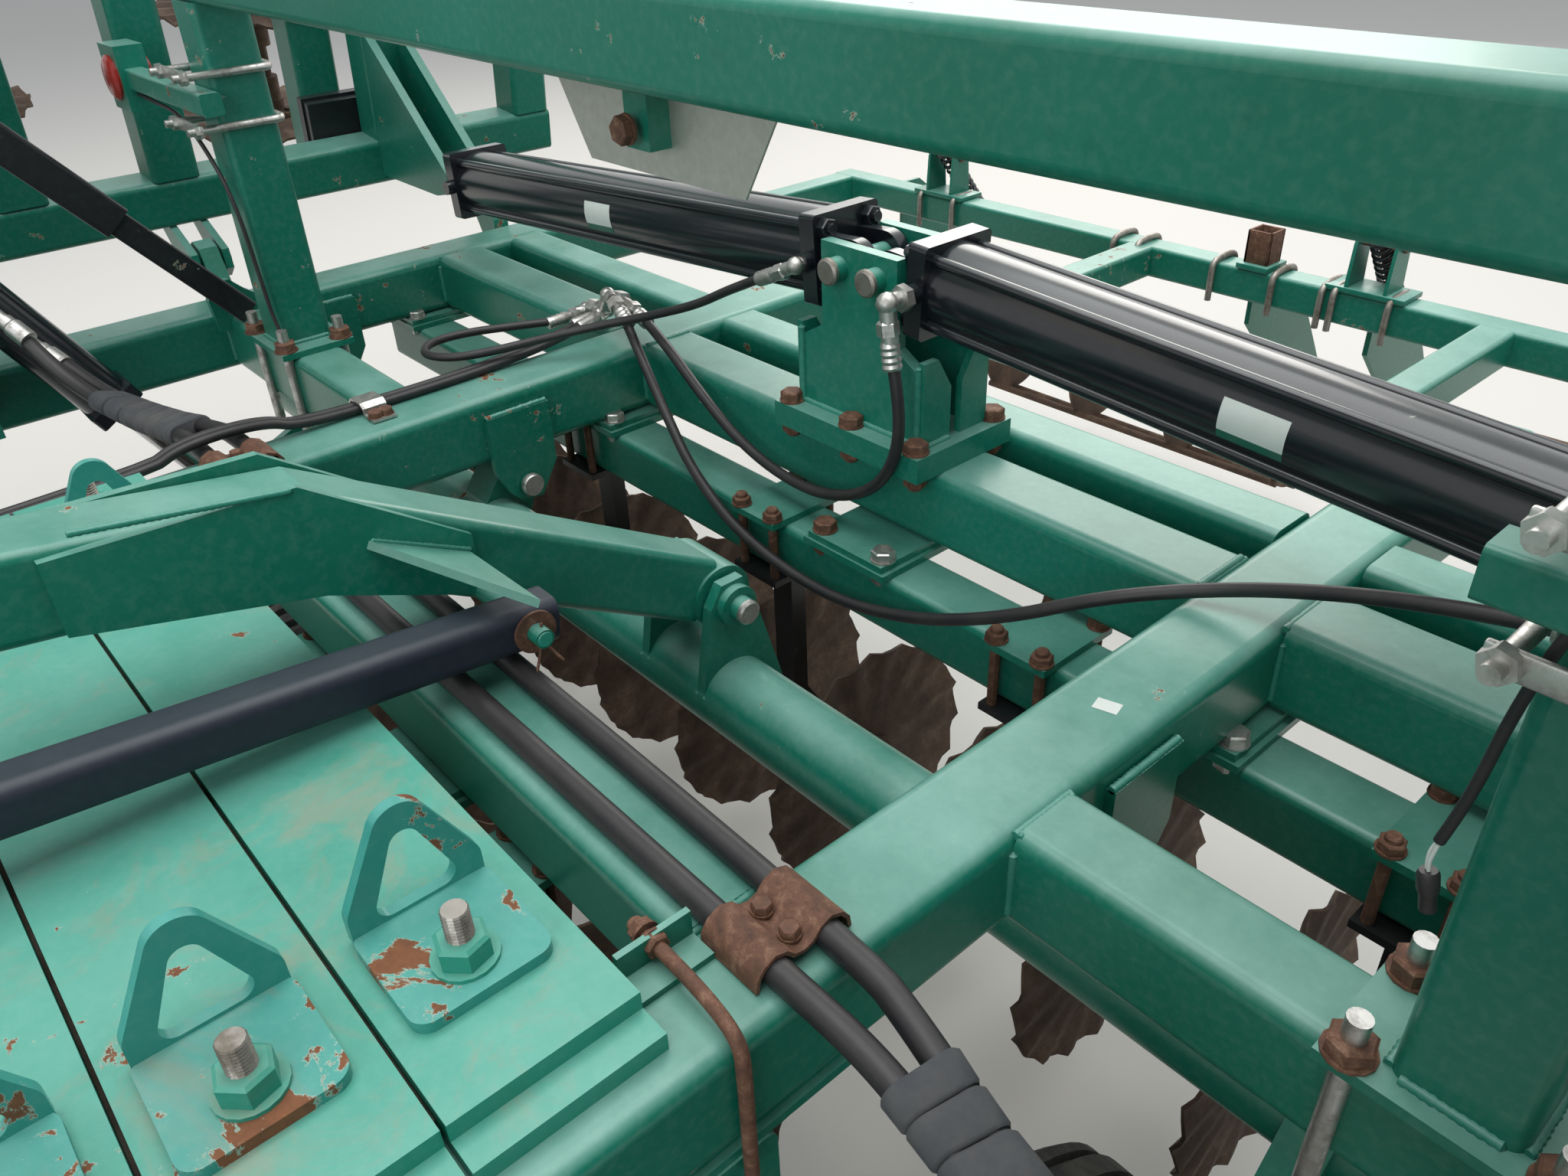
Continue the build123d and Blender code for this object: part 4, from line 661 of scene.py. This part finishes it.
# free hoses, each with the line that the frame's own hose follows
hoses = {
    "hose_loop": {"radius": 9.5, "length": 0.96, "points": (
        (122, -124, 1368), (140, -124, 1300), (136, -124, 1212), (82, -122, 1133), (-24, -120, 1084),
        (-143, -116, 1077), (-270, -110, 1104), (-390, -100, 1160), (-500, -84, 1212), (-590, -66, 1232))},
    "hose_long": {"radius": 9.5, "length": 1.98, "points": (
        (-612, -92, 1228), (-540, -112, 1178), (-455, -130, 1104), (-330, -170, 1042), (-155, -205, 992),
        (60, -208, 968), (245, -204, 1010), (410, -196, 1090), (535, -150, 1164), (655, -72, 1196),
        (790, -72, 1252), (905, -82, 1292), (1010, -92, 1322), (1110, -104, 1338), (1200, -110, 1350))},
    "hose_far": {"radius": 8, "length": 1.14, "points": (
        (-196, -98, 1406), (-290, -88, 1364), (-400, -76, 1308), (-520, -84, 1262), (-620, -140, 1232),
        (-690, -236, 1212), (-716, -322, 1206), (-752, -392, 1202), (-812, -420, 1200), (-866, -384, 1198),
        (-872, -308, 1196), (-840, -220, 1194), (-802, -134, 1192))},
}
for name, facts in hoses.items():
    hose = bentRods(name + "_line", [facts["points"]], facts["radius"], hoseRubber, "frame")
    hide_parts(name)

# clamped hoses: a fat pair from one lift cylinder to the other, a thin pair along the right inner rail
fatRadius, thinRadius = 14.5, 8
fatHalves = (
    ((742, -862, 1184.9), (820, -858, 1175.9), (905, -866, 1163), (1030, -884, 1150), (1145, -916, 1165),
     (1235, -955, 1215), (1290, -985, 1288)),
    ((742, -796, 1184.9), (825, -812, 1177.9), (915, -834, 1166), (1040, -852, 1150), (1150, -882, 1152),
     (1235, -912, 1180), (1296, -944, 1222)),
)
fatRoutes = [[(-x, y, z) for x, y, z in reversed(half)] + list(half) for half in fatHalves]
fatHoses = bentRods("fat_hoses", fatRoutes, fatRadius, hoseRubber, "frame")
thinRoutes = []
for x in (-708, -726):
    thinRoutes.append(((x - 26, -112, 1196), (x, -230, 1179.4), (x - 1, -700, 1178.4), (x, -760, 1210.4),
                       (x, -898, 1211.4), (x, -958, 1179.4), (x - 1, -2290, 1178.4)))
thinHoses = bentRods("thin_hoses", thinRoutes, thinRadius, hoseRubber, "frame")
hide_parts("clamped_hoses")
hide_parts("clamped_hoses")
print("hoses made")


# hydraulic fittings
def crimp(bm, spot, way, size=9.5):
    # ribbed sleeve over the hose end, then the hexagon of its nut
    profile = [(0, -12), (size * 1.45, -12)]
    for k in range(4):
        profile += [(size * 1.6, -8 + k * 10), (size * 1.42, -3 + k * 10)]
    profile += [(size * 1.2, 34), (size * 1.2, 40), (0, 40)]
    turned(bm, spot, way, profile, 16)
    turned(bm, spot, way, [(0, 38), (size * 1.75, 38), (size * 1.75, 56), (size * 1.3, 60), (0, 60)], 6)


def pipe(bm, points, radius):
    # short pipe through points in layout mm, with a ball at each bend
    spots = [place(*point) for point in points]
    for start, end in zip(spots, spots[1:]):
        rod(bm, start, end, radius, 12)
    for spot in spots[1:-1]:
        ball = bmesh.ops.create_icosphere(bm, subdivisions=2, radius=radius * 1.3 / 1000)["verts"]
        bmesh.ops.translate(bm, vec=spot, verts=ball)


near = bmesh.new()
crimp(near, place(122, -124, 1362), place(110, -124, 1440) - place(122, -124, 1368))
pipe(near, [(119, -124, 1385), (112, -124, 1445), (112, -84, 1445)], 13)
nut(near, place(112, -86, 1445), -rearward, 20, 14)
crimp(near, place(1196, -110, 1349), across)
pipe(near, [(1215, -111, 1353), (1252, -112, 1361), (1252, -84, 1361)], 12)
finishPiece("near_cylinder_fittings", near, zinc, "fold_barrel_left")
far = bmesh.new()
crimp(far, place(-188, -98, 1409), place(-112, -96, 1442) - place(-196, -98, 1406), 8)
pipe(far, [(-170, -98, 1418), (-112, -97, 1444), (-112, -84, 1445)], 11)
finishPiece("far_cylinder_fittings", far, zinc, "fold_barrel_right")

# tee cluster: where each hose enters it, which way it runs and its size, then the pipes and nuts between
hoseEnds = (
    ((-584, -67, 1231), (-90, 14, 14), 9.5), ((-606, -94, 1232), (-68, 12, 30), 9.5),
    ((-733, -114, 1196), (-6, 60, 10), 8), ((-752, -114, 1196), (4, 60, 8), 8), ((-803, -140, 1192), (8, 60, 6), 8),
)
teeNuts = (((-684, -52, 1242), across), ((-738, -56, 1214), rearward), ((-768, -61, 1208), across))
tees = bmesh.new()
for spot, way, size in hoseEnds:
    crimp(tees, place(*spot), Vector(way), size)
pipe(tees, [(-640, -58, 1240), (-684, -52, 1242), (-738, -56, 1214), (-792, -66, 1202), (-797, -88, 1199)], 12)
pipe(tees, [(-662, -84, 1256), (-694, -74, 1256), (-740, -60, 1212), (-738, -74, 1205)], 12)
for spot, way in teeNuts:
    nut(tees, place(*spot) - way * 0.012, way, 19, 24)
finishPiece("tee_cluster", tees, zinc, "frame")

liftPorts = ((1326, -1003, 1316), (1326, -958, 1240))
for side, sign in sides.items():
    bm = bmesh.new()
    for half, end in zip(fatHalves, liftPorts):
        last = place(sign * half[-1][0], *half[-1][1:])
        tip = place(sign * end[0], *end[1:])
        turned(bm, last, tip - last, [(0, -40), (18, -40), (18, -2), (15, 2), (15, 16), (0, 16)], 16)
        rod(bm, last, tip, 12)
    finishPiece("lift_fittings_" + side, bm, zinc, "frame")
couplers = {"xs": (-709, -727), "z": 1178.4, "start": -2285, "end": -2325, "collar": -2300}
bm = bmesh.new()
for x in couplers["xs"]:
    rod(bm, place(x, couplers["start"], couplers["z"]), place(x, couplers["end"], couplers["z"]), 9)
    nut(bm, place(x, couplers["collar"], couplers["z"]), -rearward, 10, 16)
finishPiece("couplers", bm, zinc, "frame")


# hose clamps: sheet bent over the hoses and bolted down
def saddle(bm, profile, start, length, alongX):
    verts = []
    for a, z in profile:
        verts.append(bm.verts.new(place(start, a, z) if alongX else place(a, start, z)))
    edges = [bm.edges.new(pair) for pair in zip(verts, verts[1:])]
    grown = bmesh.ops.extrude_edge_only(bm, edges=edges)
    push = (across if alongX else rearward) * (length / 1000)
    bmesh.ops.translate(bm, vec=push, verts=newVerts(grown))
    bmesh.ops.solidify(bm, geom=bm.faces[:], thickness=0.004)


fatClamp = {
    "starts": {"near": 629, "far": -680}, "width": 78, "boltXs": (20, 58), "boltY": -829, "boltZ": 1187,
    "over": [(-886, 1172), (-884, 1186), (-876, 1197), (-862, 1203), (-848, 1198), (-840, 1188), (-830, 1185),
             (-819, 1188), (-810, 1198), (-796, 1203), (-782, 1197), (-774, 1186), (-772, 1172)],
}
for name, x in fatClamp["starts"].items():
    bm = bmesh.new()
    saddle(bm, fatClamp["over"], x, fatClamp["width"], True)
    finishPiece("hose_clamp_" + name, bm, boltRust, "frame")
    bm = bmesh.new()
    for dx in fatClamp["boltXs"]:
        bolt(bm, place(x + dx, fatClamp["boltY"], fatClamp["boltZ"]), upwards, 6.5)
    finishPiece("hose_clamp_bolts_" + name, bm, boltRust, "frame")
thinClamp = {
    "starts": (-600, -1500, -2150), "width": 44, "boltX": -668, "boltYs": (12, 32), "boltZ": 1174,
    "over": [(-745, 1172), (-743, 1182), (-735, 1189), (-700, 1190), (-692, 1184), (-690, 1173), (-650, 1172)],
}
sheets, bm = bmesh.new(), bmesh.new()
for y in thinClamp["starts"]:
    saddle(sheets, thinClamp["over"], y, thinClamp["width"], False)
    for dy in thinClamp["boltYs"]:
        bolt(bm, place(thinClamp["boltX"], y + dy, thinClamp["boltZ"]), upwards, 8)
finishPiece("thin_hose_clamps", sheets, zinc, "frame")
finishPiece("thin_clamp_bolts", bm, boltRust, "frame")

# foam sleeves: each ring spans both fat hoses, with a cut before the next ring
sleeve = {"rings": 7, "from": 0.36, "reach": 2.64, "cut": 0.004, "radius": 19.5, "edge": 17, "steps": 24}
foam = bmesh.new()
for sign in sides.values():
    for k in range(sleeve["rings"]):
        pair = []
        for half in fatHalves:
            route = [place(sign * x, y, z) for x, y, z in half[1:5]]
            for share in (k / sleeve["rings"] + sleeve["cut"], (k + 1) / sleeve["rings"] - sleeve["cut"]):
                along = sleeve["from"] + share * sleeve["reach"]
                first = min(int(along), 2)
                pair.append(route[first].lerp(route[first + 1], along - first))
        startA, endA, startB, endB = pair
        way = (endA - startA).normalized()
        over = (startB - startA).normalized()
        lift = way.cross(over).normalized()
        inset = way * 0.003
        shell = []
        for a, b, size in ((startA, startB, sleeve["edge"]), (startA + inset, startB + inset, sleeve["radius"]),
                           (endA - inset, endB - inset, sleeve["radius"]), (endA, endB, sleeve["edge"])):
            for step in range(sleeve["steps"]):
                turn = 2 * pi * step / sleeve["steps"]
                centre = b if cos(turn) > 0 else a
                shell.append(foam.verts.new(centre + (over * cos(turn) + lift * sin(turn)) * (size / 1000)))
        bmesh.ops.convex_hull(foam, input=shell)
finishPiece("foam_sleeves", foam, foamSleeve, "frame", 50)
ring = [(1012, -92 + 19 * cos(k * pi / 4), 1326 + 19 * sin(k * pi / 4)) for k in range(9)]
bentRods("hose_ring", [ring], 4, zinc, "frame")

# lamps on the posts: lenses, U-bolts with their straps, and the leads
lamp = {
    "out": 380, "y": -595, "z": 1640, "half": 28, "lens": 42, "bandZs": (1596, 1684), "bandHalf": 60,
    "strapHalf": 72, "strapFront": -622, "strapRear": -616, "nutY": -618,
}
lens, straps, bands = bmesh.new(), bmesh.new(), []
for side in sides.values():
    for out in (-1, 1):
        spot = place(side * (postX + lamp["out"]), lamp["y"] + out * lamp["half"], lamp["z"])
        turned(lens, spot, rearward * out, [(0, 0), (lamp["lens"], 0), (lamp["lens"], 5), (34, 11), (0, 14)], 28)
    px, w = side * postX, lamp["bandHalf"]
    for z in lamp["bandZs"]:
        bands.append([(px - w, -640, z), (px - w, -600, z), (px - w, -500, z), (px - w + 2, -466, z),
                      (px, -464, z), (px + w - 2, -466, z), (px + w, -500, z), (px + w, -600, z), (px + w, -640, z)])
        for x in (px - w, px + w):
            nut(straps, place(x, lamp["nutY"], z), -rearward, 13, 11)
        box(straps, place(px - lamp["strapHalf"], lamp["strapFront"], z - 10),
            place(px + lamp["strapHalf"], lamp["strapRear"], z + 10), 1.5)
finishPiece("lamp_lenses", lens, lensRed, "frame")
bentRods("post_bands", bands, 7, zinc, "frame")
finishPiece("band_straps", straps, zinc, "frame")
# the near lead hangs loose, with two bare cores above its plug
leads = [[(-1490, -600, 1612), (-1400, -600, 1608), (-1260, -602, 1606), (-1150, -606, 1570), (-1098, -594, 1480),
          (-1096, -586, 1330), (-1092, -582, 1220), (-1076, -570, 1172)],
         [(1190, -600, 1690), (1150, -606, 1680), (1122, -604, 1640), (1110, -602, 1590), (1103, -600, 1540),
          (1100, -600, 1500), (1095, -600, 1462), (1090, -600, 1436)]]
cores = [[(1090, -600, 1437), (1087, -600, 1428), (1087, -600, 1416), (1089, -600, 1408)],
         [(1091, -602, 1437), (1090, -602, 1428), (1089, -602, 1416), (1091, -602, 1408)]]
bentRods("lamp_leads", leads, 4, hoseRubber, "frame")
bentRods("lead_cores", cores, 1.4, labelWhite, "frame")
plugTop, plugFoot = place(1090, -601, 1410), place(1098, -601, 1376)
bm = bmesh.new()
turned(bm, plugTop, plugFoot - plugTop, [(0, 0), (6, 0), (7.5, 3), (7.5, 16), (6, 19), (6, 33), (0, 35)], 14)
finishPiece("lead_plug", bm, hoseRubber, "frame")
decal = ((664, -356), (692, -348), (687, -328), (659, -336))
bm = bmesh.new()
plate(bm, [place(x, y, frameTop + 0.2) for x, y in decal], 0.4)
finishPiece("rail_decal", bm, labelWhite, "frame")

# rear tube: U-bolts, sprung legs of the reel arms and the receiver post
rearTube = {"y": 1375, "legXs": (-1110, 150, 1330), "plainXs": (-500, -430, -215, -60, 60, 700, 770), "legBolts": 62}
leg = {
    "earXs": (-48, 40), "pinHalf": 56, "pin": (1372, 1200), "head": (1318, 1264), "foot": (1590, 934),
    "coils": 14, "coilRadius": 22, "coilFrom": 18, "coilLength": 300,
    "ear": ((1335, 1103), (1412, 1103), (1404, 1200), (1392, 1226), (1370, 1234), (1350, 1222), (1341, 1196)),
}


def uBolt(x):
    y = rearTube["y"]
    return [(x, y + 50, 1000), (x, y + 50, 1060), (x, y + 49, 1096), (x, y, 1100),
            (x, y - 49, 1096), (x, y - 50, 1060), (x, y - 50, 1000)]


rearBars, springs = [], []
carriers, pins = bmesh.new(), bmesh.new()
for x in rearTube["legXs"]:
    rearBars += [uBolt(x - rearTube["legBolts"]), uBolt(x + rearTube["legBolts"])]
    box(carriers, place(x - 90, 1330, 1091), place(x + 90, 1420, 1103))
    for dx in leg["earXs"]:
        plate(carriers, [place(x + dx, y, z) for y, z in leg["ear"]], 8)
    rod(pins, place(x - leg["pinHalf"], *leg["pin"]), place(x + leg["pinHalf"], *leg["pin"]), 10)
    head, foot = place(x, *leg["head"]), place(x, *leg["foot"])
    slope = (foot - head).normalized()
    lift = slope.cross(across)
    coil = []
    steps = leg["coils"] * 12
    for k in range(steps + 1):
        turn = k * pi / 6
        along = slope * ((leg["coilFrom"] + leg["coilLength"] * k / steps) / 1000)
        spot = head + along + (across * cos(turn) + lift * sin(turn)) * (leg["coilRadius"] / 1000)
        coil.append(tuple((spot - place(0, 0, 0)) * 1000))
    springs.append(coil)
    rod(pins, head, foot, 9)
    bolt(pins, head + slope * 0.012, -slope, 13, 12)
for x in rearTube["plainXs"]:
    rearBars.append(uBolt(x))
box(carriers, place(-160, 1330, 1091), place(-80, 1420, 1104))
bentRods("rear_bands", rearBars, 7.5, bareRod, "frame")
bentRods("leg_springs", springs, 5, blackPaint, "frame")
finishPiece("leg_carriers", carriers, greenPaint, "frame")
finishPiece("leg_pins", pins, boltRust, "frame")
receiver = {"x": (-150, -90), "y": (1345, 1405), "z": (1104, 1180), "wall": 6}
(x0, x1), (y0, y1), wall = receiver["x"], receiver["y"], receiver["wall"]
bm = bmesh.new()
for a, b, c, d in ((x0, x0 + wall, y0, y1), (x1 - wall, x1, y0, y1), (x0, x1, y0, y0 + wall), (x0, x1, y1 - wall, y1)):
    box(bm, place(a, c, receiver["z"][0]), place(b, d, receiver["z"][1]), 0.8)
finishPiece("receiver_post", bm, boltRust, "frame")

# bent rod and its angle tab beside the slabs
tab = {"x": (612, 650), "y": (-966, -886), "top": 1206, "thick": 7}
bentRods("bent_rod", [[(596, -926, 1194), (640, -926, 1194), (700, -928, 1193), (740, -931, 1184), (746, -933, 1150),
                       (746, -934, 1060), (746, -934, 1006)]], 7, boltRust, "frame")
(x0, x1), (y0, y1) = tab["x"], tab["y"]
bm = bmesh.new()
for corners in (((x0, y0, frameTop), (x0, y1, frameTop), (x0, y1, tab["top"]), (x0, y0, tab["top"])),
                ((x0, y0, frameTop + 0.5), (x1, y0, frameTop + 0.5), (x1, y1, frameTop + 0.5),
                 (x0, y1, frameTop + 0.5))):
    plate(bm, [place(*corner) for corner in corners], tab["thick"])
finishPiece("rod_tab", bm, greenPaint, "frame")
bm = bmesh.new()
bolt(bm, place(605, -926, 1194), -across, 8, 8)
bolt(bm, place(612, -926, 1194), across, 8)
finishPiece("rod_nuts", bm, boltRust, "frame")

# lock bar pins: washers, green ends and cotters
lockPins = ((-774, 1236), (-1460, 1310))
washers, ends, cotters = bmesh.new(), bmesh.new(), []
for y, z in lockPins:
    turned(washers, place(179.3, y, z), across, [(12.5, 0), (27, 0), (27, 4), (12.5, 4), (12.5, 0)], 28)
    turned(ends, place(183, y, z), across, [(0, 0), (12, 0), (12, 17), (9, 21), (0, 21)], 20)
    cotters.append([(193, y + 3, z + 16), (193, y + 1, z), (194, y - 2, z - 14), (200, y - 16, z - 40)])
    cotters.append([(193, y + 3, z + 16), (193, y + 2, z), (194, y + 4, z - 14), (204, y + 18, z - 38)])
finishPiece("pin_washers", washers, boltRust, "level_link")
finishPiece("pin_ends", ends, slabPaint, "level_link")
bentRods("cotters", cotters, 1.8, boltRust, "level_link")


# weld beads: a rope of small ripples laid in each corner
def beads(name, routes, radius, body):
    bm = bmesh.new()
    for start, end in routes:
        a, b = place(*start), place(*end)
        length = (b - a).length * 1000
        count = max(2, int(length / 7))
        profile = [(0, 0)]
        for k in range(count):
            wobble = radius * (1 + 0.16 * noise.noise(a * 40 + Vector((0, 0, k * 0.7))))
            profile += [(wobble * 0.82, length * k / count), (wobble, length * (k + 0.5) / count)]
        turned(bm, a, b - a, profile + [(0, length)], 8)
    finishPiece(name, bm, weldPaint, body, 60)


innerSide, outerSide, farSide = innerRail - tubeHalf, innerRail + tubeHalf, outerRail - tubeHalf
weldFoot, weldHead, weldTop = 1062, 1150, 1165
frameBeads = []
for side in (-1, 1):
    # tower: along its base plates and up its gusset
    for y in (-72, 72):
        frameBeads.append(((side * 127, y, 1211), (0, y, 1211)))
    frameBeads.append(((side * 139, -72, 1211), (side * 139, -12, 1211)))
    frameBeads.append(((side * 128, -73, 1214), (side * 128, -73, 1340)))
    # hanger ears on both sides of each rail
    for x in (innerRail, outerRail):
        for out in (-1, 1):
            edge = side * x + out * (tubeHalf + 6)
            frameBeads.append(((edge, -419, 1135), (edge, -291, 1135)))
    # cross tubes against the rails, up both corners and over the top
    for y in (mainY, middleY):
        for dy in (-tubeHalf, tubeHalf):
            frameBeads.append(((side * innerSide, y + dy, weldFoot), (side * innerSide, y + dy, weldHead)))
        x = side * (innerSide + 3)
        frameBeads.append(((x, y - tubeHalf + 5, weldTop), (x, y + tubeHalf - 5, weldTop)))
    for y, half in ((mainY, tubeHalf), (stubY, 51), (frontY, tubeHalf)):
        for dy in (-half, half):
            for x in (side * outerSide, side * farSide):
                frameBeads.append(((x, y + dy, weldFoot), (x, y + dy, weldHead)))
        for x in (side * (outerSide - 3), side * (farSide + 3)):
            frameBeads.append(((x, y - half + 5, weldTop), (x, y + half - 5, weldTop)))
    # portal posts on their plates, then the tops of the cross tubes along the inner rails
    for dx in (-51, 51):
        frameBeads.append(((side * postX + dx, -570, 1183), (side * postX + dx, -480, 1183)))
    frameBeads.append(((side * postX - 40, -576, 1183), (side * postX + 40, -576, 1183)))
    frameBeads.append(((side * innerSide, -52, 1169), (side * innerSide, 52, 1169)))
    frameBeads.append(((side * outerSide, -570, 1164), (side * outerSide, -480, 1164)))
beads("frame_welds", frameBeads, 6, "frame")
lugBeads = []
for side in (-1, 1):
    for x in (62, 80):
        lugBeads.append(((side * x, -474, 914), (side * x, -420, 956)))
beads("lug_welds", lugBeads, 5, "rockshaft")
beads("link_welds", [((60, -780, 1299), (60, -895, 1359)), ((61, -1170, 1480), (61, -960, 1447))], 4, "level_link")

# tyres with ribs round them, two on each wheel body
tyre = {
    "x": 1043, "apart": 158, "y": -759, "z": 385,
    "half": [(200, -85), (230, -109), (280, -115), (325, -111), (357, -98), (373, -84), (373, -70), (363, -67),
             (363, -58), (379, -55), (379, -26), (367, -23), (367, -14), (384, -11), (384, 11)],
}
profile = tyre["half"] + [(r, -h) for r, h in reversed(tyre["half"][:-2])] + tyre["half"][:1]
for side, sign in sides.items():
    bm = bmesh.new()
    for out in (-1, 1):
        turned(bm, place(sign * tyre["x"] + out * tyre["apart"], tyre["y"], tyre["z"]), across, profile, 72)
    tread = finishPiece("tyre_tread_" + side, bm, tyreRubber, "wheels_" + side, 40)
    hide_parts("tyres_" + side)
print("rear tube, welds and tyres made")
